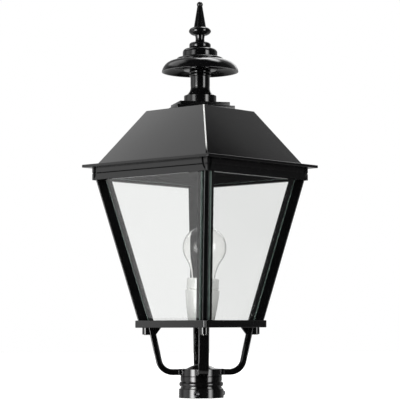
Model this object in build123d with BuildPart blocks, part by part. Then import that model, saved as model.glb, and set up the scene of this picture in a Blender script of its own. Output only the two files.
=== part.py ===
from build123d import *
import os
from math import atan, cos, degrees, hypot, radians, sin, sqrt, tan

# Post top lantern: a tapered four-sided lantern on four bracket arms and a post sleeve.
# Millimetres and degrees. +Z is up, and the origin is the centre of the sleeve's foot.
# The glass faces look along X and Y, so the corner bars and the arms stand on the diagonals.

# ---------------------------------------------------------------- driving dimensions

# post sleeve, a turned tube with a foot band, a thin ring, a bead and a neck
post_bore_dia = 50.0
sleeve_foot_dia = 63.8
sleeve_foot_height = 13.2
sleeve_waist_dia = 59.4
sleeve_ring_height = 2.6
sleeve_bead_height = 7.6
sleeve_bead_bulge = 2.0
sleeve_neck_height = 7.0

# arm hub, a disc welded on the sleeve, with a low cone
hub_height = 10.8
cone_foot_dia = 44.0
cone_head_dia = 25.0
cone_height = 4.5
lead_hole_dia = 14.0

# grooves turned in the sleeve and at its weld to the hub
groove_depth = 0.8
groove_width = 1.0

# rubber bush for the supply lead in the cone's hole
grommet_lead_dia = 9.0
grommet_flange_dia = 19.0
grommet_flange_thick = 1.6

# set screws that clamp the post
set_screw_count = 3
set_screw_dia = 8.0
set_screw_length = 10.6
set_screw_height = 6.4
set_screw_first_angle = 60.0
set_screw_point = 1.9
set_screw_socket_dia = 4.0
set_screw_socket_depth = 3.0
set_screw_fit = 0.05
bore_relief = 0.2

# bracket arms: flat outside and gently rounded inside, bent from the hub up to a boss
arm_width = 14.6
arm_thick = 8.8
arm_flank = 6.2
arm_edge_radius = 1.4
arm_tenon_reach = 19.0
arm_top_reach = 70.6
arm_lean = 12.4
arm_bend_radius = 19.6
arm_collar_reach = 32.6
arm_collar_margin = 1.0
boss_dia = 13.2
boss_inset = 6.04
boss_height = 9.7
arm_foot_reach = 57.4
arm_foot_chamfer = 7.0

# bolts that fix the arms to the base frame, and screws that fix the bars
arm_bolt_dia = 5.0
arm_bolt_head_dia = 8.5
arm_bolt_head_height = 5.0
arm_bolt_grip = 5.6
bar_screw_outset = 3.16
bar_screw_dia = 4.0
bar_screw_head_dia = 7.0
bar_screw_grip = 11.0
screw_clearance = 0.25

# base frame and the plate that closes it
base_height = 99.7
base_side = 135.0
base_thick = 10.4
base_corner_radius = 3.4
base_edge_radius = 0.6
base_opening = 100.0
base_ledge_width = 6.0
base_ledge_thick = 3.3
base_plate_thick = 2.5
base_plate_gap = 0.5
plate_screw_dia = 3.0
plate_screw_head_dia = 5.6
plate_screw_head_height = 1.8
plate_screw_inset = 3.2

# glass cage: distance of the glass's outer face from the axis, at its foot and its head
glass_foot_half = 59.0
glass_head_half = 105.2
glass_thick = 4.0
glass_groove_depth = 3.0
glass_groove_gap = 0.3
glass_top_drop = 14.2
glass_edge_gap = 6.8

# corner glazing bars: a nose between the panes and two flanges behind them
nose_width = 7.4
nose_stand_out = 6.8
nose_edge_radius = 1.4
bar_flange_reach = 9.7
bar_flange_thick = 2.0

# top frame (lower fascia band) and hood skirt (upper fascia band)
eave_height = 329.2
fascia_side = 220.2
fascia_wall = 3.5
lower_band_height = 10.2
upper_band_height = 7.8
band_edge = 1.5
band_seam = 0.5
frame_lip_thick = 2.5
frame_lip_gap = 0.3
skirt_lip_drop = 3.4
skirt_lip_gap = 0.3
skirt_lip_thick = 2.2
pocket_depth = 2.0
pocket_ridge = 3.6
pocket_head = 10.4
pocket_waist = 8.0
pocket_foot_lift = 0.8

# eave flange and roof
eave_overhang = 14.7
eave_thick = 4.2
eave_edge_radius = 0.9
roof_foot_side = 212.0
roof_head_side = 111.6
roof_rise = 78.0
roof_wall = 3.0
roof_top_thick = 3.0
hip_radius = 2.6

# chimney stack, one turned column on two oblong plates that stand turned against the roof
chimney_turn = 57.0
lower_plate_width = 85.4
lower_plate_depth = 66.0
lower_plate_thick = 5.4
upper_plate_width = 74.0
upper_plate_depth = 54.0
upper_plate_thick = 5.7
plate_edge_radius = 0.7
vent_dia = 14.0
pedestal_dia = 46.8
pedestal_height = 11.2
flare_height = 14.6
flare_dia = 44.0
shaft_dia = 28.0
shaft_height = 13.2
bead_dia = 31.4
bead_height = 4.5
collar_dia = 49.2
collar_height = 6.6

# dome cap, its ledge, and the two rings on it
dome_rim_dia = 111.0
dome_rim_drop = 2.0
dome_shoulder_dia = 69.0
dome_shoulder_height = 7.7
dome_wall = 2.6
ledge_dia = 68.8
ledge_height = 4.4
ledge_rounding = 3.3
ring_lower_dia = 50.2
ring_lower_height = 13.05
ring_lower_cove = 2.0
ring_lower_shoulder = 5.5
ring_upper_dia = 31.2
ring_upper_height = 9.25

# finial: stem, bead, spire and ball
stem_dia = 12.8
stem_height = 10.7
stem_flare = 1.0
finial_bead_dia = 32.0
finial_bead_drop = 5.0
finial_bead_rim = 1.4
finial_bead_rise = 4.7
finial_bead_swell = 1.5
finial_neck_dia = 19.0
spire_foot_dia = 18.0
spire_head_dia = 7.4
spire_height = 31.6
ball_dia = 8.8

# tie rod through the stack
tie_dia = 6.0
tie_clearance = 0.1
tie_thread = 10.0
tie_washer_dia = 34.0
tie_washer_thick = 2.0
tie_nut_width = 10.0
tie_nut_height = 5.0
tie_tail = 4.0

# lampholder on its hollow stem; it leans a little towards the rear right corner
lamp_lean = 2.8
lamp_lean_angle = 45.0
nipple_dia = 10.0
nipple_bore_dia = 7.0
nipple_length = 21.0
nipple_below = 1.2
holder_nut_width = 14.0
holder_nut_height = 3.4
holder_washer_dia = 22.0
holder_washer_thick = 1.2
holder_foot_dia = 33.6
holder_dia = 45.8
holder_body_height = 47.8
holder_rim_height = 6.0
holder_collar_dia = 43.2
holder_collar_height = 16.0
holder_seam = 0.7
holder_floor_depth = 17.8
holder_mouth_dia = 34.4
holder_mouth_depth = 6.2
wire_chamber_dia = 15.0
wire_chamber_foot = 12.0
shell_bore_dia = 27.0
shell_wall = 0.6
shell_height = 27.4
contact_thick = 0.6
contact_width = 6.0
contact_length = 18.0

# bulb: sixty millimetre envelope on a twenty-seven millimetre screw cap
bulb_dia = 60.0
bulb_length = 105.8
bulb_seat_rise = 2.4
bulb_wall = 1.0
bulb_neck_dia = 31.0
bulb_neck_height = 28.6
cap_dia = 26.4
cap_height = 27.0
cap_thread_pitch = 3.63
cap_thread_count = 5
cap_thread_depth = 0.9
cap_wall = 0.5
insulator_height = 5.0
tip_dia = 9.0
tip_height = 1.3
bulb_stem_dia = 7.0
bulb_stem_height = 62.0
filament_height = 80.0
filament_reach = 13.0
filament_wire_dia = 0.9

# ---------------------------------------------------------------- derived levels and reaches

sleeve_ring_bottom = sleeve_foot_height
sleeve_bead_bottom = sleeve_ring_bottom + sleeve_ring_height
sleeve_neck_bottom = sleeve_bead_bottom + sleeve_bead_height
hub_bottom = sleeve_neck_bottom + sleeve_neck_height
hub_top = hub_bottom + hub_height
sleeve_top = hub_top + cone_height

arm_axis_height = hub_top - arm_thick / 2
boss_bottom = base_height - boss_height
base_top = base_height + base_thick
ledge_top = base_height + base_ledge_thick
base_plate_top = ledge_top + base_plate_thick
groove_floor = base_top - glass_groove_depth

glass_top_height = eave_height - glass_top_drop
cage_slope = (glass_head_half - glass_foot_half) / (eave_height - base_top)
cage_lean = degrees(atan(cage_slope))
glass_across = glass_thick / cos(radians(cage_lean))
glass_corner = glass_foot_half * sqrt(2)
boss_reach = glass_corner - boss_inset
bar_screw_reach = glass_corner + bar_screw_outset

skirt_bottom = eave_height - upper_band_height
frame_bottom = skirt_bottom - lower_band_height
fascia_half = fascia_side / 2
fascia_inner_half = fascia_half - fascia_wall
eave_top = eave_height + eave_thick
eave_side = roof_foot_side + 2 * eave_overhang
roof_top = eave_top + roof_rise

lower_plate_top = roof_top + lower_plate_thick
upper_plate_top = lower_plate_top + upper_plate_thick
pedestal_top = upper_plate_top + pedestal_height
shaft_bottom = pedestal_top + flare_height
shaft_top = shaft_bottom + shaft_height
column_top = shaft_top + 2 * bead_height
collar_top = column_top + collar_height
shoulder_level = collar_top + dome_shoulder_height
ledge_top_level = shoulder_level + ledge_height
ring_lower_top = ledge_top_level + ring_lower_height
ring_upper_top = ring_lower_top + ring_upper_height
stem_top = ring_upper_top + stem_height
tie_bore_radius = tie_dia / 2 + tie_clearance
holder_floor = holder_body_height - holder_floor_depth
bulb_seat = holder_floor + bulb_seat_rise

corner_angles = {"front_right": -45, "rear_right": 45, "rear_left": 135, "front_left": 225}
face_angles = {"front": -90, "right": 0, "rear": 90, "left": 180}
set_screw_angles = [set_screw_first_angle + 360 / set_screw_count * n for n in range(set_screw_count)]


def glass_half(height):
    """Distance of the glass's outer face from the axis at a height."""
    return glass_foot_half + (height - base_top) * cage_slope


def outward_plane(angle, distance, height, lean=0.0):
    """Plane that faces outwards at an angle about Z: local X runs round, local Y runs up."""
    across, along = cos(radians(angle)), sin(radians(angle))
    level, drop = cos(radians(lean)), sin(radians(lean))
    return Plane(
        origin=(distance * across, distance * along, height),
        x_dir=(-along, across, 0),
        z_dir=(across * level, along * level, -drop),
    )


def section_plane(angle):
    """Upright plane through the axis: local X is the reach from the axis, local Y the height."""
    across, along = cos(radians(angle)), sin(radians(angle))
    return Plane(origin=(0, 0, 0), x_dir=(across, along, 0), z_dir=(along, -across, 0))


def level_plane(angle, height):
    """Level plane at a height: local X is the reach from the axis along the angle."""
    return Plane(origin=(0, 0, height), x_dir=(cos(radians(angle)), sin(radians(angle)), 0), z_dir=(0, 0, 1))


# ---------------------------------------------------------------- bracket arms

arms = {}
knee_reach = arm_top_reach - (base_height - arm_axis_height) * tan(radians(arm_lean))
over_reach = arm_top_reach + arm_thick * tan(radians(arm_lean))
for corner, angle in corner_angles.items():
    with BuildPart() as arm:
        with BuildLine(section_plane(angle)) as route:
            FilletPolyline(
                (arm_tenon_reach, arm_axis_height),
                (knee_reach, arm_axis_height),
                (over_reach, base_height + arm_thick),
                radius=arm_bend_radius,
            )
        with BuildSketch(outward_plane(angle, arm_tenon_reach, arm_axis_height)) as arm_section:
            flank_top = arm_flank - arm_thick / 2
            with BuildLine():
                Line((-arm_width / 2, flank_top), (-arm_width / 2, -arm_thick / 2))
                Line((-arm_width / 2, -arm_thick / 2), (arm_width / 2, -arm_thick / 2))
                Line((arm_width / 2, -arm_thick / 2), (arm_width / 2, flank_top))
                ThreePointArc((arm_width / 2, flank_top), (0, arm_thick / 2), (-arm_width / 2, flank_top))
            make_face()
            fillet(arm_section.vertices().group_by(Axis.Y)[0], radius=arm_edge_radius)
        sweep(path=route.line)
        with BuildSketch(section_plane(angle)):
            with BuildLine():
                Polyline(
                    (arm_foot_reach, base_height),
                    (boss_reach, base_height),
                    (boss_reach, boss_bottom),
                    (arm_foot_reach + arm_foot_chamfer, boss_bottom),
                    close=True,
                )
            make_face()
        extrude(amount=boss_dia / 2, both=True)
        with BuildSketch(level_plane(angle, boss_bottom)):
            with Locations((boss_reach, 0)):
                Circle(boss_dia / 2)
        extrude(amount=boss_height)
        split(bisect_by=Plane.XY.offset(base_height), keep=Keep.BOTTOM)
        bolt_hole = outward_plane(angle, boss_reach, boss_bottom).origin
        with Locations(Plane(origin=bolt_hole, z_dir=(0, 0, -1))):
            CounterBoreHole(
                radius=arm_bolt_dia / 2 + screw_clearance,
                counter_bore_radius=arm_bolt_head_dia / 2 + screw_clearance,
                counter_bore_depth=boss_height - arm_bolt_grip + screw_clearance,
                depth=boss_height,
            )
    arms[corner] = arm

with BuildPart() as arm_bolts:
    for angle in corner_angles.values():
        head_top = base_height - arm_bolt_grip + screw_clearance
        with BuildSketch(level_plane(angle, head_top - arm_bolt_head_height)):
            with Locations((boss_reach, 0)):
                Circle(arm_bolt_head_dia / 2)
                RegularPolygon(arm_bolt_dia / 2, 6, major_radius=False, mode=Mode.SUBTRACT)
        extrude(amount=arm_bolt_head_height / 2)
        with BuildSketch(level_plane(angle, head_top - arm_bolt_head_height / 2)):
            with Locations((boss_reach, 0)):
                Circle(arm_bolt_head_dia / 2)
        extrude(amount=arm_bolt_head_height / 2)
        with BuildSketch(level_plane(angle, head_top)):
            with Locations((boss_reach, 0)):
                Circle(arm_bolt_dia / 2)
        extrude(amount=2 * arm_bolt_grip)
arm_bolt_top = base_height - arm_bolt_grip + screw_clearance + 2 * arm_bolt_grip

# ---------------------------------------------------------------- post sleeve and hub

foot_radius, waist_radius = sleeve_foot_dia / 2, sleeve_waist_dia / 2
with BuildPart() as post_sleeve:
    with BuildSketch(Plane.XZ):
        with BuildLine():
            Polyline(
                (post_bore_dia / 2, 0),
                (foot_radius, 0),
                (foot_radius, sleeve_ring_bottom),
                (waist_radius, sleeve_ring_bottom),
                (waist_radius, sleeve_bead_bottom),
            )
            ThreePointArc(
                (waist_radius, sleeve_bead_bottom),
                (waist_radius + sleeve_bead_bulge, sleeve_bead_bottom + sleeve_bead_height / 2),
                (waist_radius, sleeve_neck_bottom),
            )
            Polyline(
                (waist_radius, sleeve_neck_bottom),
                (waist_radius, hub_bottom - groove_width / 2),
                (waist_radius - groove_depth, hub_bottom),
                (post_bore_dia / 2, hub_bottom),
                (post_bore_dia / 2, 0),
            )
        make_face()
    revolve(axis=Axis.Z)
    foot_edges = post_sleeve.edges().filter_by(GeomType.CIRCLE).sort_by(SortBy.RADIUS)[-2:]
    fillet(foot_edges, radius=groove_depth)
    for level in (sleeve_bead_bottom, sleeve_neck_bottom):
        with BuildSketch(Plane.XZ):
            with Locations((waist_radius, level)):
                Rectangle(2 * groove_depth, groove_width)
        revolve(axis=Axis.Z, mode=Mode.SUBTRACT)
    for angle in set_screw_angles:
        with BuildSketch(outward_plane(angle, 0, set_screw_height)):
            Circle(set_screw_dia / 2 + set_screw_fit)
        extrude(amount=sleeve_foot_dia, mode=Mode.SUBTRACT)

with BuildPart() as arm_hub:
    with BuildSketch(Plane.XZ):
        with BuildLine():
            Polyline(
                (lead_hole_dia / 2, hub_bottom),
                (waist_radius - groove_depth, hub_bottom),
                (waist_radius, hub_bottom + groove_width / 2),
                (waist_radius, hub_top),
                (cone_foot_dia / 2, hub_top),
                (cone_head_dia / 2, sleeve_top),
                (lead_hole_dia / 2, sleeve_top),
                close=True,
            )
        make_face()
    revolve(axis=Axis.Z)
    for angle in corner_angles.values():
        with BuildSketch(outward_plane(angle, waist_radius / 2, arm_axis_height)):
            Rectangle(arm_width + 2 * arm_collar_margin, arm_thick)
        extrude(amount=arm_collar_reach - waist_radius / 2)
    for arm in arms.values():
        add(arm.part, mode=Mode.SUBTRACT)

with BuildPart() as cable_grommet:
    with BuildSketch(Plane.XY.offset(sleeve_top)):
        Circle(grommet_flange_dia / 2)
    extrude(amount=grommet_flange_thick)
    fillet(cable_grommet.faces().sort_by(Axis.Z)[-1].edges(), radius=grommet_flange_thick / 2)
    with BuildSketch(Plane.XY.offset(hub_bottom)):
        Circle(lead_hole_dia / 2)
    extrude(amount=sleeve_top - hub_bottom)
    with BuildSketch(Plane.XY.offset(hub_bottom)):
        Circle(grommet_lead_dia / 2)
    extrude(amount=sleeve_top + grommet_flange_thick - hub_bottom, mode=Mode.SUBTRACT)

set_screws = []
for angle in set_screw_angles:
    with BuildPart() as set_screw:
        with BuildSketch(outward_plane(angle, post_bore_dia / 2 + bore_relief, set_screw_height)):
            Circle(set_screw_dia / 2)
        extrude(amount=set_screw_length)
        outward = Axis((0, 0, set_screw_height), outward_plane(angle, 0, 0).z_dir)
        outer_rim = set_screw.edges().filter_by(GeomType.CIRCLE).sort_by(outward)[-1]
        chamfer(outer_rim, length=set_screw_point)
        outer_end = post_bore_dia / 2 + bore_relief + set_screw_length
        with BuildSketch(outward_plane(angle, outer_end, set_screw_height)):
            RegularPolygon(set_screw_socket_dia / 2, 6, major_radius=False)
        extrude(amount=-set_screw_socket_depth, mode=Mode.SUBTRACT)
    set_screws.append(set_screw)

# ---------------------------------------------------------------- corner glazing bars

nose_reach = glass_corner + nose_stand_out
flange_face = glass_corner - glass_across * sqrt(2)
flange_inner = flange_face - bar_flange_thick * sqrt(2) / cos(radians(cage_lean))
flange_step = (flange_face - flange_inner) / 2
bar_rise = glass_top_height - base_top
bar_slope = cage_slope * sqrt(2)
bars = {}
for corner, angle in corner_angles.items():
    across, along = cos(radians(angle)), sin(radians(angle))
    with BuildPart() as bar:
        with BuildSketch(level_plane(angle, base_top)) as bar_section:
            with BuildLine():
                Polyline(
                    (flange_inner, 0),
                    (flange_face - bar_flange_reach - flange_step, bar_flange_reach - flange_step),
                    (flange_face - bar_flange_reach, bar_flange_reach),
                    (flange_face - nose_width / 2, nose_width / 2),
                    (nose_reach, nose_width / 2),
                )
                mirror(about=Plane.XZ)
                Line((nose_reach, nose_width / 2), (nose_reach, -nose_width / 2))
            make_face()
            fillet(bar_section.vertices().group_by(Axis.X)[-1], radius=nose_edge_radius)
        extrude(amount=bar_rise * hypot(1, bar_slope), dir=(across * bar_slope, along * bar_slope, 1))
        with BuildSketch(level_plane(angle, base_top)):
            with Locations((bar_screw_reach, 0)):
                Circle(bar_screw_dia / 2)
        extrude(amount=bar_screw_grip, mode=Mode.SUBTRACT)
    bars[corner] = bar

with BuildPart() as bar_screws:
    for angle in corner_angles.values():
        with BuildSketch(level_plane(angle, base_height)):
            with Locations((bar_screw_reach, 0)):
                Circle(bar_screw_head_dia / 2)
        with BuildSketch(level_plane(angle, base_height + (bar_screw_head_dia - bar_screw_dia) / 2)):
            with Locations((bar_screw_reach, 0)):
                Circle(bar_screw_dia / 2)
        loft()
        with BuildSketch(level_plane(angle, base_height)):
            with Locations((bar_screw_reach, 0)):
                Circle(bar_screw_dia / 2)
        extrude(amount=base_thick + bar_screw_grip)

# ---------------------------------------------------------------- base frame

groove_outer = glass_foot_half + glass_groove_gap
groove_inner = glass_half(groove_floor) - glass_across - glass_groove_gap
with BuildPart() as base_frame:
    with BuildSketch(Plane.XY.offset(base_height)):
        RectangleRounded(base_side, base_side, base_corner_radius)
    extrude(amount=base_thick)
    outer_rims = base_frame.faces().filter_by(Axis.Z).edges()
    fillet(outer_rims, radius=base_edge_radius)
    with BuildSketch(Plane.XY.offset(ledge_top)):
        Rectangle(base_opening, base_opening)
    extrude(amount=base_top - ledge_top, mode=Mode.SUBTRACT)
    with BuildSketch(Plane.XY.offset(base_height)):
        Rectangle(base_opening - 2 * base_ledge_width, base_opening - 2 * base_ledge_width)
    extrude(amount=base_thick, mode=Mode.SUBTRACT)
    with BuildSketch(Plane.XY.offset(groove_floor)):
        Rectangle(2 * groove_outer, 2 * groove_outer)
        Rectangle(2 * groove_inner, 2 * groove_inner, mode=Mode.SUBTRACT)
    extrude(amount=glass_groove_depth, mode=Mode.SUBTRACT)
    for angle in corner_angles.values():
        with BuildSketch(level_plane(angle, base_height)):
            with Locations((boss_reach, 0)):
                Circle(arm_bolt_dia / 2)
        extrude(amount=arm_bolt_top - base_height, mode=Mode.SUBTRACT)
    plate_screw_half = base_opening / 2 - plate_screw_inset
    with BuildSketch(Plane.XY.offset(base_height)):
        with GridLocations(2 * plate_screw_half, 2 * plate_screw_half, 2, 2):
            Circle(plate_screw_dia / 2)
    extrude(amount=base_ledge_thick, mode=Mode.SUBTRACT)
    add(bar_screws.part, mode=Mode.SUBTRACT)

with BuildPart() as base_plate:
    with BuildSketch(Plane.XY.offset(ledge_top)):
        Rectangle(base_opening - 2 * base_plate_gap, base_opening - 2 * base_plate_gap)
        Circle(nipple_dia / 2 + screw_clearance, mode=Mode.SUBTRACT)
        with GridLocations(2 * plate_screw_half, 2 * plate_screw_half, 2, 2):
            Circle(plate_screw_dia / 2 + screw_clearance, mode=Mode.SUBTRACT)
    extrude(amount=base_plate_thick)

with BuildPart() as base_plate_screws:
    with BuildSketch(Plane.XY.offset(base_height)):
        with GridLocations(2 * plate_screw_half, 2 * plate_screw_half, 2, 2):
            Circle(plate_screw_dia / 2)
    extrude(amount=base_plate_top - base_height)
    with BuildSketch(Plane.XY.offset(base_plate_top)):
        with GridLocations(2 * plate_screw_half, 2 * plate_screw_half, 2, 2):
            Circle(plate_screw_head_dia / 2)
    extrude(amount=plate_screw_head_height)
    fillet(base_plate_screws.faces().group_by(Axis.Z)[-1].edges(), radius=plate_screw_head_height / 2)

# ---------------------------------------------------------------- glass panes

panes = {}
pane_slant = (glass_top_height - groove_floor) / cos(radians(cage_lean))
pane_foot_half = glass_half(groove_floor) - glass_edge_gap * sqrt(2)
pane_head_half = glass_half(glass_top_height) - glass_edge_gap * sqrt(2)
for face, angle in face_angles.items():
    with BuildPart() as pane:
        with BuildSketch(outward_plane(angle, glass_half(groove_floor), groove_floor, cage_lean)):
            with BuildLine():
                Polyline(
                    (-pane_foot_half, 0),
                    (pane_foot_half, 0),
                    (pane_head_half, pane_slant),
                    (-pane_head_half, pane_slant),
                    close=True,
                )
            make_face()
        extrude(amount=-glass_thick)
    panes[face] = pane

# ---------------------------------------------------------------- top frame and hood skirt


# pocket beside a corner ridge, drawn on a fascia's face: wide above and closed below
ridge_line = fascia_half - pocket_ridge
pocket_foot = frame_bottom + pocket_foot_lift
pocket_middle = (skirt_bottom + pocket_foot) / 2
with BuildSketch() as pocket:
    with BuildLine():
        ThreePointArc(
            (ridge_line, pocket_foot),
            (fascia_half - pocket_waist, pocket_middle + pocket_foot_lift),
            (fascia_half - pocket_head, eave_height),
        )
        Line((fascia_half - pocket_head, eave_height), (ridge_line, eave_height))
        Line((ridge_line, eave_height), (ridge_line, pocket_foot))
    make_face()
    mirror(about=Plane.YZ)

with BuildPart() as top_frame:
    with BuildSketch(Plane.XY.offset(frame_bottom)):
        Rectangle(fascia_side, fascia_side)
    extrude(amount=lower_band_height)
    chamfer(top_frame.faces().sort_by(Axis.Z)[-1].edges(), length=band_edge, length2=band_edge / 2)
    with BuildSketch(Plane.XY.offset(frame_bottom + frame_lip_thick)):
        Rectangle(2 * fascia_inner_half, 2 * fascia_inner_half)
    extrude(amount=lower_band_height, mode=Mode.SUBTRACT)
    lip_half = glass_half(frame_bottom + frame_lip_thick) + frame_lip_gap
    with BuildSketch(Plane.XY.offset(frame_bottom)):
        Rectangle(2 * lip_half, 2 * lip_half)
    extrude(amount=lower_band_height, mode=Mode.SUBTRACT)
    for angle in face_angles.values():
        with BuildSketch(outward_plane(angle, fascia_half, 0)):
            add(pocket.sketch)
        extrude(amount=-pocket_depth, mode=Mode.SUBTRACT)
    for bar in bars.values():
        add(bar.part, mode=Mode.SUBTRACT)

skirt_lip_half = fascia_inner_half - skirt_lip_gap
with BuildPart() as hood_skirt:
    with BuildSketch(Plane.XY.offset(skirt_bottom)):
        Rectangle(fascia_side, fascia_side)
    extrude(amount=upper_band_height)
    chamfer(hood_skirt.faces().sort_by(Axis.Z)[0].edges(), length=band_seam)
    with BuildSketch(Plane.XY.offset(skirt_bottom - skirt_lip_drop)):
        Rectangle(2 * skirt_lip_half, 2 * skirt_lip_half)
    extrude(amount=skirt_lip_drop)
    with BuildSketch(Plane.XY.offset(skirt_bottom - skirt_lip_drop)):
        Rectangle(2 * (skirt_lip_half - skirt_lip_thick), 2 * (skirt_lip_half - skirt_lip_thick))
    extrude(amount=skirt_lip_drop + upper_band_height, mode=Mode.SUBTRACT)
    for angle in face_angles.values():
        with BuildSketch(outward_plane(angle, fascia_half, 0)):
            add(pocket.sketch)
        extrude(amount=-pocket_depth, mode=Mode.SUBTRACT)

# ---------------------------------------------------------------- eave flange and roof

roof_inner_foot = roof_foot_side - 2 * roof_wall
roof_inner_rise = roof_rise - roof_top_thick
roof_narrowing = (roof_foot_side - roof_head_side) * roof_inner_rise / roof_rise
with BuildPart() as eave_flange:
    with BuildSketch(Plane.XY.offset(eave_height)):
        RectangleRounded(eave_side, eave_side, eave_edge_radius)
    extrude(amount=eave_thick)
    fillet(eave_flange.faces().filter_by(Axis.Z).edges(), radius=eave_edge_radius)
    with BuildSketch(Plane.XY.offset(eave_height)):
        Rectangle(roof_inner_foot, roof_inner_foot)
    extrude(amount=eave_thick, mode=Mode.SUBTRACT)

roof_wall_top = roof_top - roof_top_thick
with BuildPart() as roof:
    with BuildSketch(Plane.XY.offset(eave_top)):
        RectangleRounded(roof_foot_side, roof_foot_side, hip_radius)
    with BuildSketch(Plane.XY.offset(roof_top)):
        RectangleRounded(roof_head_side, roof_head_side, hip_radius)
    loft()
    fillet(roof.faces().sort_by(Axis.Z)[-1].edges(), radius=hip_radius / 2)
    with BuildSketch(Plane.XY.offset(eave_top)):
        Rectangle(roof_inner_foot, roof_inner_foot)
    with BuildSketch(Plane.XY.offset(roof_wall_top)):
        Rectangle(roof_inner_foot - roof_narrowing, roof_inner_foot - roof_narrowing)
    loft(mode=Mode.SUBTRACT)
    with BuildSketch(Plane.XY.offset(roof_wall_top)):
        Circle(vent_dia / 2)
    extrude(amount=roof_top_thick, mode=Mode.SUBTRACT)

# four sloping sides, mitred at the hips, and the plate that closes them
roof_sides = {}
for face, angle in face_angles.items():
    left_hip, right_hip = radians(angle - 45), radians(angle + 45)
    with BuildPart() as roof_side:
        add(roof.part)
        split(bisect_by=Plane.XY.offset(roof_wall_top), keep=Keep.BOTTOM)
        split(bisect_by=Plane(origin=(0, 0, 0), z_dir=(-sin(left_hip), cos(left_hip), 0)))
        split(bisect_by=Plane(origin=(0, 0, 0), z_dir=(sin(right_hip), -cos(right_hip), 0)))
    roof_sides[face] = roof_side

with BuildPart() as roof_top_plate:
    add(roof.part)
    split(bisect_by=Plane.XY.offset(roof_wall_top), keep=Keep.TOP)

# ---------------------------------------------------------------- chimney stack

with BuildPart() as chimney_lower_plate:
    with BuildSketch(level_plane(chimney_turn, roof_top)):
        Rectangle(lower_plate_width, lower_plate_depth)
    extrude(amount=lower_plate_thick)
    fillet(chimney_lower_plate.faces().sort_by(Axis.Z)[-1].edges(), radius=plate_edge_radius)
    with BuildSketch(Plane.XY.offset(roof_top)):
        Circle(vent_dia / 2)
    extrude(amount=lower_plate_thick, mode=Mode.SUBTRACT)

with BuildPart() as chimney_upper_plate:
    with BuildSketch(level_plane(chimney_turn, lower_plate_top)):
        Rectangle(upper_plate_width, upper_plate_depth)
    extrude(amount=upper_plate_thick)
    fillet(chimney_upper_plate.faces().sort_by(Axis.Z)[-1].edges(), radius=plate_edge_radius)
    with BuildSketch(Plane.XY.offset(lower_plate_top)):
        Circle(vent_dia / 2)
    extrude(amount=upper_plate_thick, mode=Mode.SUBTRACT)

with BuildPart() as chimney_column:
    with BuildSketch(Plane.XZ):
        shaft_radius, bead_radius = shaft_dia / 2, bead_dia / 2
        with BuildLine():
            Polyline(
                (vent_dia / 2, upper_plate_top),
                (pedestal_dia / 2, upper_plate_top),
                (pedestal_dia / 2, pedestal_top),
                (flare_dia / 2, pedestal_top),
            )
            ThreePointArc(
                (flare_dia / 2, pedestal_top),
                (shaft_radius + (flare_dia - shaft_dia) / 8, pedestal_top + flare_height * 0.42),
                (shaft_radius, shaft_bottom),
            )
            Line((shaft_radius, shaft_bottom), (shaft_radius, shaft_top))
            for bottom in (shaft_top, shaft_top + bead_height):
                ThreePointArc(
                    (shaft_radius, bottom),
                    (bead_radius, bottom + bead_height / 2),
                    (shaft_radius, bottom + bead_height),
                )
            Polyline((shaft_radius, column_top), (vent_dia / 2, column_top), (vent_dia / 2, upper_plate_top))
        make_face()
    revolve(axis=Axis.Z)
    pedestal_rims = chimney_column.edges().filter_by(GeomType.CIRCLE).sort_by(SortBy.RADIUS)[-2:]
    fillet(pedestal_rims, radius=plate_edge_radius)

with BuildPart() as chimney_collar:
    with BuildSketch(Plane.XY.offset(column_top)):
        Circle(collar_dia / 2)
        Circle(tie_bore_radius, mode=Mode.SUBTRACT)
    extrude(amount=collar_height)
    rims = chimney_collar.edges().filter_by(GeomType.CIRCLE).sort_by(SortBy.RADIUS)[-2:]
    fillet(rims, radius=collar_height / 3)

# ---------------------------------------------------------------- dome cap and rings

rim_level = column_top - dome_rim_drop
rim_radius = dome_rim_dia / 2
shoulder_radius = dome_shoulder_dia / 2
dome_swell = rim_radius - shoulder_radius
dome_rise = shoulder_level - rim_level
dome_diagonal = sqrt(0.5)
with BuildPart() as dome_cap:
    with BuildSketch(Plane.XZ):
        with BuildLine():
            Line((shoulder_radius, shoulder_level), (ledge_dia / 2, shoulder_level))
            Line((ledge_dia / 2, shoulder_level), (ledge_dia / 2, ledge_top_level))
            Line((ledge_dia / 2, ledge_top_level), (tie_bore_radius, ledge_top_level))
            Line((tie_bore_radius, ledge_top_level), (tie_bore_radius, collar_top))
            Line((tie_bore_radius, collar_top), (shoulder_radius - dome_wall, collar_top))
            ThreePointArc(
                (shoulder_radius - dome_wall, collar_top),
                (
                    shoulder_radius - dome_wall + dome_swell * dome_diagonal,
                    rim_level + (collar_top - rim_level) * dome_diagonal,
                ),
                (rim_radius - dome_wall, rim_level),
            )
            Line((rim_radius - dome_wall, rim_level), (rim_radius, rim_level))
            ThreePointArc(
                (rim_radius, rim_level),
                (
                    shoulder_radius + dome_swell * dome_diagonal,
                    rim_level + dome_rise * dome_diagonal,
                ),
                (shoulder_radius, shoulder_level),
            )
        make_face()
    revolve(axis=Axis.Z)
    ledge_rim = dome_cap.edges().filter_by(GeomType.CIRCLE).group_by(Axis.Z)[-1].sort_by(SortBy.RADIUS)[-1]
    fillet(ledge_rim, radius=ledge_rounding)

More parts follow.
